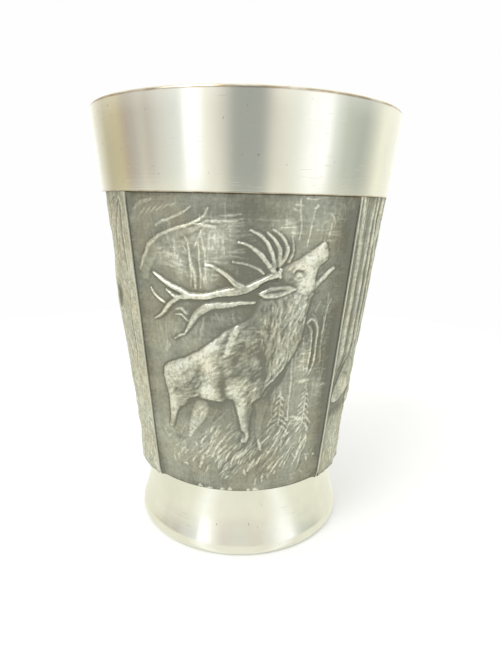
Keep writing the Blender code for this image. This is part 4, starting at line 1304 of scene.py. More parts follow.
def cock_body(r):
    """The bird's trunk and neck, with the feathers of its breast."""
    outline = [
        (-6.9, 29.2), (-6.2, 29.2), (-5.5, 29.1), (-4.8, 28.5), (-4.3, 27.2), (-3.8, 25.4), (-2.9, 23.6),
        (-1.0, 21.9), (1.4, 20.6), (3.6, 19.6), (4.4, 18.2), (3.4, 16.2), (1.4, 14.6), (-1.0, 14.0),
        (-3.2, 14.7), (-4.9, 16.4), (-5.9, 18.8), (-6.2, 21.2), (-5.9, 23.6), (-6.1, 25.2), (-6.4, 26.2),
        (-6.2, 27.2), (-6.3, 28.0), (-7.0, 28.5), (-6.3, 28.6),
    ]
    body = r.figure(outline, (0.5, -0.07, -0.35), 0.42, 2.0, 0.16)
    for u, v, across, up, height, wear_and_shade in (
        (-3.6, 19.0, 1.8, 3.0, 0.1, 0.4), (0.6, 17.4, 2.6, 2.0, 0.08, 0.3),
        (-5.2, 26.6, 0.6, 1.6, 0.05, 0.3), (-1.6, 15.2, 1.6, 0.8, -0.06, -0.2),
        (-2.0, 21.6, 0.8, 1.2, -0.05, -0.3),
    ):
        r.hump(u, v, across, up, height, 0, wear_and_shade, body)
    chest = [(-6.4, 14), (-6.4, 27), (-4, 27), (-1, 21), (-2, 14)]
    for count, width, height, wear_and_shade in ((380, 0.2, 0.05, 0.2), (260, 0.18, -0.05, -0.2)):
        r.strokes(chest, 285, count, 0.7, width, height, wear_and_shade=wear_and_shade, within=body)


def cock_wing(r):
    """The folded wing."""
    wing = [(-2.4, 20.2), (0.4, 20.6), (3.0, 19.0), (3.2, 16.6), (1.4, 13.2), (0.4, 13.4), (-1.4, 16.4)]
    folded = r.mass(wing, 0.2, 0.9, 0.52, wear_and_shade=0.1)
    for k in range(8):
        start = (-1.9 + 0.55 * k, 19.9 - 0.03 * k * k)
        end = (0.3 + 0.32 * k, 13.6 + 0.34 * k)
        middle = halfway(start, end, across=-0.5)
        r.bar([start, middle, end], [0.3, 0.5, 0.3], 0.06, wear_and_shade=0.35, within=folded)
        r.bar([(start[0] + 0.28, start[1]), (middle[0] + 0.28, middle[1]), (end[0] + 0.2, end[1])],
              [0.14], -0.07, wear_and_shade=-0.3, within=folded)


def cock_head(r):
    """Beard, beak, eye and the wattle over it."""
    for v, wide in ((25.6, 0.7), (24.9, 0.6), (26.2, 0.6)):
        r.bar([(-5.9, v), (-6.5, v - 0.7), (-6.6, v - 1.4)], [wide, 0.5 * wide, 0.1], 0.12, 0.2, wear_and_shade=0.3)
    r.bar([(-6.1, 28.7), (-7.1, 29.1), (-7.8, 29.7)], [0.8, 0.5, 0.14], 0.2, 0.3, wear_and_shade=0.7)
    r.bar([(-6.1, 28.2), (-6.9, 28.2), (-7.5, 28.3)], [0.6, 0.36, 0.12], 0.16, 0.28, wear_and_shade=0.6)
    r.bar([(-5.75, 28.62), (-5.1, 28.6)], [0.3, 0.24], 0.12, 0.45, wear_and_shade=0.6)
    r.bar([(-5.5, 28.2), (-5.42, 28.2)], [0.34], 0.12, 0.45, wear_and_shade=0.6)
    r.bar([(-5.9, 28.0), (-5.4, 27.85), (-5.05, 28.15)], [0.12, 0.14, 0.1], -0.1, wear_and_shade=-0.5)


def cock_feet(r):
    """Feathered legs, and toes on the trunk."""
    for u in (-1.9, 0.1):
        r.bar([(u + 0.2, 14.6), (u, 13.2), (u - 0.1, 12.5)], [1.1, 0.6, 0.4], 0.24, 0.2, wear_and_shade=0.4)
        for toe in (-0.9, -0.3, 0.4):
            r.bar([(u - 0.1, 12.6), (u - 0.1 + toe, 12.1)], [0.3, 0.2], 0.14, 0.36, wear_and_shade=0.5)


def grouse_panel():
    """A capercaillie cock in display on a fallen trunk, under a pine."""
    r = Relief(33)
    far_wood(r, 16, 38)
    far_hills(r)
    for u, low, high, spread in (
        (-10.4, 15.5, 24.5, 1.7), (-7.6, 16.0, 22.6, 1.4), (10.0, 14.0, 20.5, 1.5),
    ):
        fir(r, u, low, high, spread, 9)
    pine_tree(r)
    fallen_trunk(r)
    tail_fan(r)
    cock_body(r)
    cock_wing(r)
    cock_head(r)
    cock_feet(r)
    ground = [(-13, 1.0), (13, 1.0), (13, 9.8), (6, 9.4), (0, 8.8), (-6, 9.4), (-13, 8.6)]
    ground_plants(r, ground, lambda u, v: 84 + 14 * math.sin(0.9 * u), 300)
    for u, v, angle in (
        (-9.5, 3.4, 118), (-8.9, 3.2, 82), (-8.3, 3.4, 52), (8.6, 3.0, 124), (9.2, 2.8, 88),
        (9.8, 3.0, 56),
    ):
        leaf_spray(r, u, v, angle, 4.6, 7, 0.8)
    return r


def beech(r):
    """A smooth, swelling bole with a knot hole and folds."""
    r.wear_and_shade += 0.65 * np.clip((r.u - 3.0) / 3, 0, 1) * np.clip((40.5 - r.v) / 5, 0, 1)
    bole = [
        (6.6, -1), (6.4, 6), (6.0, 10), (4.4, 13), (4.0, 17), (3.7, 21), (3.5, 25), (4.4, 28.4),
        (6.4, 31.5), (7.0, 35), (7.6, 40.5), (14.6, 40.5), (14.6, -1),
    ]
    trunk = r.mass(bole, 0.5, 3.0, 0.06, wear_and_shade=0.1)
    r.wear_and_shade += 0.04 * trunk * r.noise(0.2, 2.4)
    r.hump(4.6, 0.4, 7.5, 3.0, 0.5, wear_and_shade=0.1)
    r.hump(5.2, 24.2, 2.2, 3.6, 0.4, wear_and_shade=0.1, within=trunk)
    r.hump(7.4, 28.2, 1.6, 1.0, 0.1, wear_and_shade=0.1, within=trunk)
    r.hump(7.8, 25.6, 1.1, 1.6, -0.4, turn=-14, wear_and_shade=-1.9)
    hollow = [
        (6.4, 24.6), (6.3, 26.0), (6.9, 27.3), (8.1, 27.3), (8.8, 26.0), (8.7, 24.4), (7.9, 23.5),
        (6.9, 23.7),
    ]
    r.bar(hollow + hollow[:1], [0.3, 0.4, 0.3], 0.14, wear_and_shade=0.25)
    r.bar([(8.8, 23.6), (9.4, 22.7)], [0.4], 0.1, wear_and_shade=0.7)
    r.bar([(7.3, 15.6), (7.8, 14.3), (8.4, 13.0), (9.0, 11.6)], [0.3, 0.6, 0.3], -0.14, wear_and_shade=-0.6)
    for points, wide in (
        ([(12.6, 38.4), (10.6, 37.0), (8.9, 34.6), (8.0, 31.0)], 0.6),
        ([(12.8, 38.2), (11.7, 36.0), (10.8, 33.6), (10.2, 30.4)], 0.6),
        ([(13.0, 37.6), (12.6, 35.0), (12.5, 32.6), (12.6, 29.6)], 0.5),
        ([(11.6, 38.8), (9.4, 37.6), (7.6, 35.0)], 0.4),
        ([(9.6, 20.6), (10.2, 18.2), (11.4, 15.6)], 0.24),
        ([(12.4, 26.0), (11.8, 23.0), (12.0, 19.0), (11.6, 15.5)], 0.3),
    ):
        r.bar(points, [0.5 * wide, wide, 0.4 * wide], 0.11, wear_and_shade=0.45)
        r.bar([(u - 0.35, v - 0.25) for u, v in points], [wide, 1.6 * wide, 0.6 * wide], -0.08, wear_and_shade=-0.45)
    r.strokes([(6.4, 3), (6.4, 38), (13.2, 38), (13.2, 3)], lambda u, v: 86 + 6 * math.sin(0.4 * v), 40,
              2.0, 0.24, 0.012, wear_and_shade=0.08)


def roe_buck(r):
    """The buck's trunk, legs and coat."""
    leg(r, [(2.9, 13.6), (2.2, 12.0), (2.4, 10.6), (2.0, 8.8), (1.9, 7.4)], [2.4, 1.2, 0.7, 0.5, 0.6])
    leg(r, [(-4.6, 13.4), (-5.0, 11.6), (-5.5, 9.8), (-5.2, 8.0)], [1.6, 0.9, 0.55, 0.6])
    outline = [
        (-8.9, 22.1), (-8.7, 22.8), (-7.9, 23.3), (-7.1, 24.1), (-6.2, 24.7), (-5.4, 24.4), (-4.9, 23.4),
        (-4.4, 21.9), (-3.7, 20.3), (-2.6, 19.2), (-0.9, 18.7), (1.0, 18.4), (2.6, 18.5), (4.0, 17.9),
        (4.8, 16.6), (4.9, 15.0), (4.5, 13.6), (4.5, 12.4), (4.8, 11.1), (4.4, 9.8), (4.2, 8.2),
        (4.1, 7.1), (3.1, 7.1), (3.4, 8.4), (3.5, 9.8), (3.4, 10.9), (2.6, 12.0), (1.6, 12.9),
        (0.2, 12.7), (-1.6, 12.5), (-2.7, 12.5), (-3.0, 11.4), (-3.1, 9.8), (-3.1, 8.2), (-3.0, 7.1),
        (-4.0, 7.1), (-4.0, 8.4), (-4.0, 9.9), (-4.2, 11.4), (-4.9, 12.8), (-5.8, 14.4), (-6.3, 16.2),
        (-6.5, 18.2), (-6.7, 19.9), (-7.0, 21.1), (-7.8, 21.4), (-8.6, 21.5),
    ]
    body = r.figure(outline, (0.5, -0.06, -0.35), 0.4, 1.7, 0.08)
    r.humps((
        (3.2, 15.8, 1.7, 2.0, 0.09, 0, 0.45), (-3.4, 15.6, 1.6, 2.2, 0.08, 0, 0.4),
        (0.2, 15.6, 1.3, 2.2, 0.04, 0, 0.2), (-1.6, 14.6, 0.6, 2.4, -0.08, 8, -0.35),
        (1.4, 14.4, 0.6, 2.0, -0.07, -10, -0.3), (-5.6, 20.0, 0.7, 2.8, 0.05, -8, 0.35),
        (0.4, 18.0, 3.6, 0.5, 0.04, -4, 0.5), (-3.55, 9.4, 0.4, 2.0, 0.04, 0, 0.5),
        (4.0, 9.4, 0.4, 2.0, 0.04, 0, 0.5), (-8.2, 22.1, 0.7, 0.5, 0.02, 30, 0.6),
        (-6.4, 23.6, 0.7, 0.6, 0.04, 30, 0.5), (-4.3, 12.4, 0.6, 1.4, -0.03, 0, -0.2),
    ), body)
    coat = [(-7, 12), (-7, 22), (-4, 24), (5, 18.6), (5, 11), (-3, 11.5)]
    r.strokes(coat, lambda u, v: 215 - 2 * u, 520, 0.7, 0.14, 0.028, wear_and_shade=0.12, within=body)
    r.strokes(coat, lambda u, v: 235 - 2 * u, 360, 0.6, 0.14, -0.026, wear_and_shade=-0.12, within=body)


def buck_head(r):
    """Eye, mouth, nose, antlers and ear."""
    r.bar([(-7.35, 23.25), (-7.0, 23.4)], [0.42, 0.34], -0.1, wear_and_shade=-0.4)
    r.bar([(-7.2, 23.3), (-7.1, 23.32)], [0.24], 0.12, wear_and_shade=0.6)
    r.bar([(-8.8, 21.95), (-8.1, 21.85), (-7.6, 22.0)], [0.14, 0.16, 0.1], -0.1, wear_and_shade=-0.5)
    r.bar([(-8.75, 22.5), (-8.6, 22.5)], [0.2], -0.1, wear_and_shade=-0.5)
    for shift, strong in ((0.75, 0.7), (-0.25, 1.0)):
        for points, widths in (
            ([(-6.1, 24.4), (-6.3, 25.8), (-6.1, 27.2), (-6.4, 28.7)], [0.6, 0.5, 0.36, 0.12]),
            ([(-6.25, 25.9), (-6.9, 26.6), (-7.2, 27.4)], [0.4, 0.3, 0.12]),
            ([(-6.15, 27.0), (-5.6, 27.6), (-5.3, 28.3)], [0.36, 0.26, 0.1]),
        ):
            beam(r, [(u + shift, v) for u, v in points], widths, 0.28 * strong, 0.12, 0.6 * strong)
    leaf = [
        (-5.6, 24.3), (-4.9, 25.1), (-3.9, 25.7), (-3.1, 25.9), (-3.4, 25.0), (-4.2, 24.2), (-5.0, 23.8),
    ]
    shell = r.figure(leaf, (0.4, -0.06, -0.3), 0.26, 0.4, 0.3, 0.35)
    r.bar([(-5.0, 24.3), (-4.2, 24.8), (-3.5, 25.4)], [0.2, 0.36, 0.12], -0.14, wear_and_shade=-0.5, within=shell)


def buck_panel():
    """A roe buck looking out of the wood, past an old beech."""
    r = Relief(45, (0.3, 1.8))
    far_wood(r)
    far_trees(r, [(-11.4, 17, 38, 1.0), (-8.9, 20, 37, 0.5), (-1.6, 21, 38, 0.8), (1.6, 20, 37, 0.6)])
    lit_patches(r, [(-11, -8.5, 23, 31), (-3.5, 0.5, 24, 33), (2.2, 5, 20, 28)])
    beech(r)
    for u, v, angle, length in (
        (-12.8, 36.0, -12, 4.0), (-12.8, 33.0, -30, 3.4), (-9.0, 37.6, -25, 4.2), (-5.0, 38.2, -30, 3.6),
        (-1.0, 38.4, -35, 3.4), (3.0, 38.2, -50, 3.2), (6.4, 36.4, 210, 3.4), (6.2, 31.0, 200, 2.6),
    ):
        leaf_spray(r, u, v, angle, length, 5, 1.0)
    roe_buck(r)
    buck_head(r)
    fir(r, -9.6, 9.0, 15.0, 1.6, 6)
    fir(r, -11.9, 8.4, 13.0, 1.2, 5)
    ground = [(-13, 1.0), (8.5, 1.0), (8.0, 6.0), (5, 8.6), (0, 7.4), (-5, 8.6), (-9, 9.4), (-13, 8.6)]
    ground_plants(r, ground, lambda u, v: 106 - 0.8 * u + 8 * math.sin(1.2 * u), 260)
    r.strokes([(6.5, 0.8), (13.2, 0.8), (13.2, 4.6), (9, 6.0), (6.5, 5.0)], 80, 70, 1.5, 0.2, 0.05,
              bend=-0.3, wear_and_shade=0.25)
    return r


# ---------------------------------------------------------------- metals

# brown of grime, used also as painted shade under the rim's overhang
GRIME_AND_SHADE_TONE = (0.34, 0.25, 0.15, 1)
SCRATCH_TONE = (0.42, 0.39, 0.33, 1)
PIT_TONE = (0.30, 0.26, 0.20, 1)
WARM_TINT = (1.06, 0.97, 0.84, 1)
GRAIN_DEPTH = 0.015
PATINA = [
    (0.0, (0.22, 0.222, 0.187)),
    (0.3, (0.365, 0.37, 0.315)),
    (0.52, (0.48, 0.485, 0.415)),
    (0.75, (0.64, 0.645, 0.56)),
    (1.0, (0.80, 0.80, 0.72)),
]


def metal(name):
    """A metallic surface, its tree, its shader and its coordinates in millimetres."""
    made, tree = new_material(name)
    shader = tree.nodes["Principled BSDF"]
    shader.inputs["Metallic"].default_value = 1.0
    where = node(tree, "ShaderNodeTexCoord").outputs["Object"]
    sized = node(tree, "ShaderNodeVectorMath", {0: where, "Scale": 1 / MM}, operation="SCALE")
    return made, tree, shader, sized.outputs[0]


def noise(tree, place, stretch, detail=2.0, rough=0.5):
    """Noise from 0 to 1; stretch is how many features fit in a millimetre on each axis."""
    if not isinstance(stretch, tuple):
        stretch = (stretch, stretch, stretch)
    squeezed = node(tree, "ShaderNodeVectorMath", {0: place, 1: stretch}, operation="MULTIPLY")
    values = {"Vector": squeezed.outputs[0], "Scale": 1.0, "Detail": detail, "Roughness": rough}
    return node(tree, "ShaderNodeTexNoise", values).outputs[0]


def add_bump(tree, shader, height, depth):
    """Fine unevenness; depth is in millimetres."""
    values = {"Height": height, "Strength": 1.0, "Distance": depth * MM}
    tree.links.new(node(tree, "ShaderNodeBump", values).outputs[0], shader.inputs["Normal"])


def turned_colour(tree, place, tint, cloud, lines, marks):
    """The tint with faint haze, darker in its lines, scratches and pits."""
    pits = between(tree, noise(tree, place, (2.2, 2.2, 1.1)), 0.72, 0.76, 0.0, 1.0)
    darker = (*(0.86 * c for c in tint), 1)
    base = blend(tree, between(tree, cloud, 0.35, 0.65, 0.0, 0.6), (*tint, 1), darker)
    for where, share, tone in ((lines, 0.3, darker), (marks, 0.35, SCRATCH_TONE), (pits, 0.5, PIT_TONE)):
        base = blend(tree, maths(tree, "MULTIPLY", where, share), base, tone)
    return base


def add_grime_and_shade(tree, place, base, height, edges):
    """The colour with brown grime along edges, each given as its height and reach in millimetres; at the
    rim's lower edge the brown is painted shade as well.
    """
    broken = between(tree, noise(tree, place, (0.5, 0.5, 3.0), 3.0), 0.3, 0.6, 0.35, 1.0)
    for level, reach in edges:
        off = maths(tree, "ABSOLUTE", maths(tree, "SUBTRACT", height, level))
        grime_and_shade = maths(tree, "MULTIPLY", between(tree, off, 0.3 * reach, reach, 0.9, 0.0), broken)
        base = blend(tree, grime_and_shade, base, GRIME_AND_SHADE_TONE)
    return base


def lathe_ridges(tree, place, height, lines, marks):
    """Fine ridges round the axis, cut by scratches and strongest near the rim's lower edge."""
    fine = noise(tree, place, (0.05, 0.05, 26.0), 1.0)
    ridges = maths(tree, "ADD", lines, maths(tree, "MULTIPLY", fine, 0.5))
    ridges = maths(tree, "SUBTRACT", ridges, maths(tree, "MULTIPLY", marks, 0.6))
    from_edge = maths(tree, "ABSOLUTE", maths(tree, "SUBTRACT", height, RIM_LOW))
    return maths(tree, "MULTIPLY", ridges, between(tree, from_edge, 1.0, 4.5, 1.8, 0.7))


def turned_metal(name, tint, roughness, line_depth, stained_and_shaded=()):
    """Lathe-turned pewter: fine lines round the axis, faint haze, scratches and pits.

    The edges listed as (height, reach) in millimetres take brown grime, and at the rim's lower edge painted
    shade as well."""
    made, tree, shader, place = metal(name)
    height = node(tree, "ShaderNodeSeparateXYZ", {0: place}).outputs["Z"]
    lines = noise(tree, place, (0.02, 0.02, 9.0))
    cloud = noise(tree, place, (0.16, 0.16, 0.1), 4.0)
    marks = between(tree, noise(tree, place, (0.35, 0.35, 9.0), 2.0, 0.6), 0.67, 0.73, 0.0, 1.0)
    base = turned_colour(tree, place, tint, cloud, lines, marks)
    base = add_grime_and_shade(tree, place, base, height, stained_and_shaded)
    tree.links.new(base, shader.inputs["Base Color"])
    rough = between(tree, cloud, 0.3, 0.7, roughness - 0.03, roughness + 0.05)
    rough = maths(tree, "ADD", rough, maths(tree, "MULTIPLY", marks, 0.1))
    tree.links.new(rough, shader.inputs["Roughness"])
    add_bump(tree, shader, lathe_ridges(tree, place, height, lines, marks), line_depth)
    shader.inputs["Anisotropic"].default_value = 0.7
    shader.inputs["Anisotropic Rotation"].default_value = 0.25
    round_axis = node(tree, "ShaderNodeTangent", direction_type="RADIAL", axis="Z")
    tree.links.new(round_axis.outputs[0], shader.inputs["Tangent"])
    return made


def patinated_metal(name):
    """Cast pewter: dark patina in the hollows, rubbed bright where the relief stands high, and darkened
    where the panels carry painted shade.
    """
    made, tree, shader, place = metal(name)
    wear_and_shade = node(tree, "ShaderNodeAttribute", attribute_name="wear_and_shade").outputs["Fac"]
    speckle = noise(tree, place, 5.0, 4.0, 0.65)
    brushed = noise(tree, place, (1.2, 1.2, 12.0))
    risen = noise(tree, place, (10.0, 10.0, 1.0))
    cloud = noise(tree, place, 0.22, 3.0)
    drawn = maths(tree, "ADD", brushed, risen)
    grains = maths(tree, "ADD", speckle, maths(tree, "MULTIPLY", drawn, 0.5))
    mottle = maths(tree, "MULTIPLY", maths(tree, "SUBTRACT", grains, 1.0), 0.24)
    shown = maths(tree, "ADD", wear_and_shade, mottle)
    tone = ramp(tree, shown, PATINA)
    warm = blend(tree, 1.0, tone, WARM_TINT, "MULTIPLY")
    tone = blend(tree, between(tree, cloud, 0.45, 0.72, 0.0, 0.55), tone, warm)
    tree.links.new(tone, shader.inputs["Base Color"])
    tree.links.new(between(tree, shown, 0.0, 1.0, 0.58, 0.36), shader.inputs["Roughness"])
    add_bump(tree, shader, grains, GRAIN_DEPTH)
    return made


# ---------------------------------------------------------------- turned pieces

def new_piece(name, points, faces, material, uvs=None, sharp=30):
    """A mesh object in metres from points in millimetres."""
    mesh = bpy.data.meshes.new(name)
    mesh.from_pydata((np.asarray(points) * MM).tolist(), [], faces)
    mesh.materials.append(material)
    if uvs is not None:
        layer = mesh.uv_layers.new(name="OFBake")
        layer.data.foreach_set("uv", np.asarray(uvs, np.float32).ravel())
    mesh.shade_smooth()
    mesh.set_sharp_from_angle(angle=math.radians(sharp))
    return new_object(name, mesh)


def arc(centre, radius, start, end, steps=8):
    """Points along an arc in the (radius, height) plane; angles in degrees."""
    angles = np.radians(np.linspace(start, end, steps + 1))
    return [(centre[0] + radius * math.cos(a), centre[1] + radius * math.sin(a)) for a in angles]


def turned(name, outline, material, sharp=30):
    """Sweeps a closed (radius, height) outline round the axis. It runs downwards outside."""
    turns = np.arange(TURNED_STEPS) * math.tau / TURNED_STEPS
    points, rings = [], []
    for radius, z in outline:
        first = len(points)
        if radius < 1e-6:
            points.append((0.0, 0.0, z))
            rings.append([first] * (TURNED_STEPS + 1))
            continue
        points.extend((radius * math.cos(t), radius * math.sin(t), z) for t in turns)
        rings.append([*range(first, first + TURNED_STEPS), first])
    steps = [math.dist(a, b) for a, b in zip(outline, outline[1:] + outline[:1])]
    runs = np.concatenate([[0], np.cumsum(steps)]) / sum(steps)
    faces, uvs = [], []
    for i, upper in enumerate(rings):
        lower = rings[(i + 1) % len(rings)]
        if len(set(upper)) == 1 and len(set(lower)) == 1:
            continue
        for k in range(TURNED_STEPS):
            corners = [(upper, k, i), (lower, k, i + 1), (lower, k + 1, i + 1), (upper, k + 1, i)]
            face = {}
            for ring, column, row in corners:
                face.setdefault(ring[column], (column / TURNED_STEPS, runs[row]))
            faces.append(list(face))
            uvs.extend(face.values())
    return new_piece(name, points, faces, material, uvs, sharp)


def foot_profile():
    """The foot's outer side, from its top down: a neck that flares ever faster to the base."""
    shape = [
        (FOOT_TOP_RADIUS, FOOT_TOP),
        (NECK_RADIUS + 0.04, 8.6),
        (NECK_RADIUS, NECK_HEIGHT),
        (NECK_RADIUS + 0.17, 5.5),
        (NECK_RADIUS + 0.48, 4.0),
        (NECK_RADIUS + 0.73, 3.0),
        (NECK_RADIUS + 0.97, 2.2),
        (FOOT_RADIUS - 0.09, 1.6),
        (FOOT_RADIUS, 1.0),
    ]
    return [tuple(point) for point in spline(shape, 5)]


def make_rim(material):
    """The polished band, closed by the rounded lip and the wall behind it."""
    outer_lip = (LIP_RADIUS - LIP_ROUND, HEIGHT - LIP_ROUND)
    inner_lip = (MOUTH_RADIUS + LIP_ROUND, HEIGHT - LIP_ROUND)
    wall_low, wall_high = RIM_LOW + RIM_EDGE, HEIGHT - LIP_ROUND
    wall = [
        (RIM_LOW_RADIUS + (LIP_RADIUS - RIM_LOW_RADIUS) * s, wall_low + (wall_high - wall_low) * s)
        for s in (0.8, 0.6, 0.4, 0.2)
    ]
    outline = [
        *arc(outer_lip, LIP_ROUND, 90, 0),
        *wall,
        *arc((RIM_LOW_RADIUS - RIM_EDGE, wall_low), RIM_EDGE, 0, -90, 4),
        (relief_radius(RIM_LOW) - PANEL_BACK, RIM_LOW),
        (bore(LINER_TOP) + COLLAR_STEP, LINER_TOP + SEAM),
        (bore(LINER_TOP), LINER_TOP + SEAM),
        *arc(inner_lip, LIP_ROUND, 180, 90),
    ]
    return turned("turned_rim", outline, material)


def make_foot(material):
    """The flared foot, hollow below, with the spigot that it holds the cup by."""
    hole = DISC_RADIUS + SEAM
    outline = [
        *foot_profile(),
        *arc((FOOT_RADIUS - FOOT_ROUND, FOOT_ROUND), FOOT_ROUND, 0, -90),
        *arc((hole + FOOT_HEM, FOOT_HEM), FOOT_HEM, -90, -180, 5),
        (hole, DISC_TOP),
        (hole - FOOT_LEDGE, DISC_TOP + FOOT_SLOPE),
        (hole - FOOT_LEDGE, LINER_LOW),
        (SPIGOT_RADIUS, LINER_LOW),
        (SPIGOT_RADIUS, FOOT_TOP),
    ]
    return turned("turned_foot", outline, material, 50)


def make_liner(material):
    """The cup inside: its wall, its round corner and its floor."""
    taper = math.atan(BORE_SLOPE)
    corner_height = CUP_FLOOR + FLOOR_ROUND
    corner = (bore(corner_height) - FLOOR_ROUND / math.cos(taper), corner_height)
    outline = [
        (bore(LINER_TOP) + LINER_WALL, LINER_TOP),
        (relief_radius(RIM_LOW) - PANEL_BACK, RIM_LOW),
        (relief_radius(PANEL_LOW) - PANEL_BACK, PANEL_LOW),
        (SPIGOT_RADIUS, PANEL_LOW),
        (SPIGOT_RADIUS, LINER_LOW),
        (0.0, LINER_LOW),
        *[(radius, CUP_FLOOR) for radius in (0.0, 4.0, 8.0)],
        *arc(corner, FLOOR_ROUND, -90, -math.degrees(taper), 12),
        *[(bore(z), z) for z in (20, 32, 44, LINER_TOP)],
    ]
    return turned("spun_liner", outline, material)


def make_base_disc(material):
    """The disc under the foot, with a bead, two turned rings and a centre mark."""
    face = DISC_LOW + DISC_BEAD
    crest = ((DISC_RING_HALF, 0.0), (0.0, DISC_RING_RISE), (-DISC_RING_HALF, 0.0))
    rings = [(radius + aside, face + rise) for radius in DISC_RINGS for aside, rise in crest]
    outline = [
        (0.0, DISC_TOP),
        (DISC_RADIUS, DISC_TOP),
        (DISC_RADIUS, face),
        *arc((DISC_BEAD_RADIUS, face), DISC_BEAD, 0, -180, 12),
        *rings,
        (DISC_MARK_RADIUS, face),
        (0.0, face + DISC_MARK_DEPTH),
    ]
    return turned("turned_base_disc", outline, material)


# ---------------------------------------------------------------- panels and ribs

def keep_wear_and_shade(piece, wear_and_shade):
    """Stores the rubbing and painted shade at each point, for the patina to read."""
    attribute = piece.data.attributes.new("wear_and_shade", "FLOAT", "POINT")
    attribute.data.foreach_set("value", np.asarray(wear_and_shade, np.float32))


def quarter_turn(share):
    """What carries rows of points from the front to another quarter."""
    return np.array(Matrix.Rotation(share * math.pi / 2, 3, "Z")).T


def panel_points(across, up, raised):
    """Points in space from places on the front panel and the relief's height there."""
    z = PANEL_LOW + up
    radius = relief_radius(z) - PANEL_DEPTH + raised
    turn = across / MIDDLE_RADIUS
    return np.stack(np.broadcast_arrays(radius * np.sin(turn), -radius * np.cos(turn), z), -1)


def panel_faces():
    """Squares over the front grid, strips at its edges and on the back, and both ends."""
    grid = np.arange(ROWS * COLUMNS).reshape(ROWS, COLUMNS)
    low = np.arange(COLUMNS) + ROWS * COLUMNS
    high = low + COLUMNS
    squares = [grid[:-1, :-1], grid[:-1, 1:], grid[1:, 1:], grid[1:, :-1]]
    faces = np.stack([corner.ravel() for corner in squares], 1).tolist()
    for near, far in ((low, grid[0]), (grid[-1], high), (high, low)):
        corners = [near[:-1], near[1:], far[1:], far[:-1]]
        faces += np.stack(corners, 1).tolist()
    faces.append([int(v) for v in (low[0], *grid[:, 0], high[0])])
    faces.append([int(v) for v in (high[-1], *grid[::-1, -1], low[-1])])
    return faces


def panel_uvs(faces):
    """Texture places: the front takes nearly the whole square, the back a strip below it."""
    across = np.linspace(0.01, 0.99, COLUMNS)
    up = np.linspace(0.05, 0.99, ROWS)
    front = np.stack([np.tile(across, ROWS), np.repeat(up, COLUMNS)], 1)
    back = [np.stack([across, np.full(COLUMNS, v)], 1) for v in (0.01, 0.03)]
    order = np.concatenate([np.asarray(face) for face in faces])
    return np.vstack([front, *back])[order]


def make_panel(place, quarter, relief, material):
    """The cast plate: the relief in front, a plain back, and walls between them."""
    height, wear_and_shade = relief.finished()
    front = panel_points(relief.u, relief.v, height)
    rise = PANEL_DEPTH - PANEL_BACK
    backs = [panel_points(relief.across, up, rise) for up in (0.0, PANEL_HEIGHT)]
    points = np.vstack([front.reshape(-1, 3), *backs]) @ quarter_turn(quarter)
    faces = panel_faces()
    made = new_piece(f"{place}_relief", points, faces, material, panel_uvs(faces), 180)
    keep_wear_and_shade(made, np.concatenate([wear_and_shade.ravel(), np.full(2 * COLUMNS, BACK_WEAR)]))
    return made


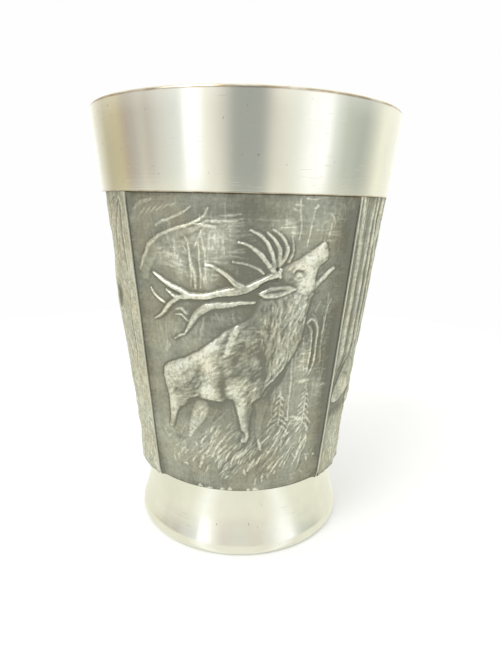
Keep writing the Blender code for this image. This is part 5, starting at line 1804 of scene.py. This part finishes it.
def make_rib(name, quarter, material, seed):
    """The strip over a joint: a rounded ridge, a little uneven, rubbed bright on its crest."""
    random = np.random.default_rng(seed)
    angles = np.radians(np.linspace(-90, 90, RIB_SIDES + 1))
    heights = np.linspace(PANEL_LOW, PANEL_TOP, RIB_ROWS)
    steps = np.arange(RIB_ROWS)
    rates = (0.05, 0.13, 0.31, 0.7)
    wander = sum(random.normal(0, 0.5) * np.sin(steps * r + random.uniform(0, 6)) for r in rates)
    points, wear_and_shade = [], []
    for z, uneven, shift in zip(heights, wander, 0.02 * np.roll(wander, 9)):
        top = np.clip(1 - (PANEL_TOP - z) / RIB_FLARE, 0, 1)
        low = np.clip(1 - (z - PANEL_LOW) / RIB_SINK, 0, 1)
        half = RIB_WIDTH / 2 * (1 + 0.08 * uneven + 0.9 * top**2)
        crown = relief_radius(z) + RIB_PROUD - half - 0.3 * low**2
        base = relief_radius(z) - PANEL_BACK
        points.append((base, shift - half, z))
        points += [(crown + half * math.cos(a), shift + half * math.sin(a), z) for a in angles]
        points.append((base, shift + half, z))
        wear_and_shade += [0.1, *(0.15 + 0.8 * math.cos(a) ** 4 + 0.05 * uneven for a in angles), 0.1]
    ring = len(angles) + 2
    faces = [list(range(ring))[::-1], list(range((RIB_ROWS - 1) * ring, RIB_ROWS * ring))]
    for k in range(RIB_ROWS - 1):
        for i in range(ring):
            j = (i + 1) % ring
            faces.append([k * ring + i, k * ring + j, (k + 1) * ring + j, (k + 1) * ring + i])
    made = new_piece(name, np.asarray(points) @ quarter_turn(quarter - 0.5), faces, material, None, 60)
    keep_wear_and_shade(made, wear_and_shade)
    return made


# ---------------------------------------------------------------- the cup

def settle(piece, slot, *nodes):
    """Joins a piece to the frame in the place of its CAD nodes."""
    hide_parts(*nodes)
    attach(piece, "root")


def build():
    """Makes every piece of the cup in its metal."""
    # the lip's brown stain, and grime with painted shade at the rim's lower edge
    stained_and_shaded = [LIP_STAIN, RIM_SHADE_AND_GRIME]
    polish = turned_metal("polished_pewter", (0.83, 0.82, 0.74), 0.16, 0.004, stained_and_shaded)
    spun = turned_metal("spun_pewter", (0.74, 0.73, 0.67), 0.34, 0.010)
    base = turned_metal("dull_base_pewter", (0.62, 0.61, 0.56), 0.42, 0.012)
    patina = patinated_metal("patinated_pewter")
    settle(make_rim(polish), "polished", "rim_band")
    settle(make_foot(polish), "polished", "foot_ring")
    settle(make_liner(spun), "liner", "inner_cup")
    settle(make_base_disc(base), "base", "base_disc")
    panels = [("front", stag_panel), ("right", boar_panel), ("back", grouse_panel), ("left", buck_panel)]
    for quarter, (place, picture) in enumerate(panels):
        made = make_panel(place, quarter, picture(), patina)
        settle(made, "patina", f"relief_panel_{place}")
    corners = ["front_right", "right_back", "back_left", "left_front"]
    for quarter, corner in enumerate(corners):
        made = make_rib(f"corner_strip_{corner}", quarter, patina, 11 + quarter)
        settle(made, "rib", f"corner_rib_{corner}")


build()
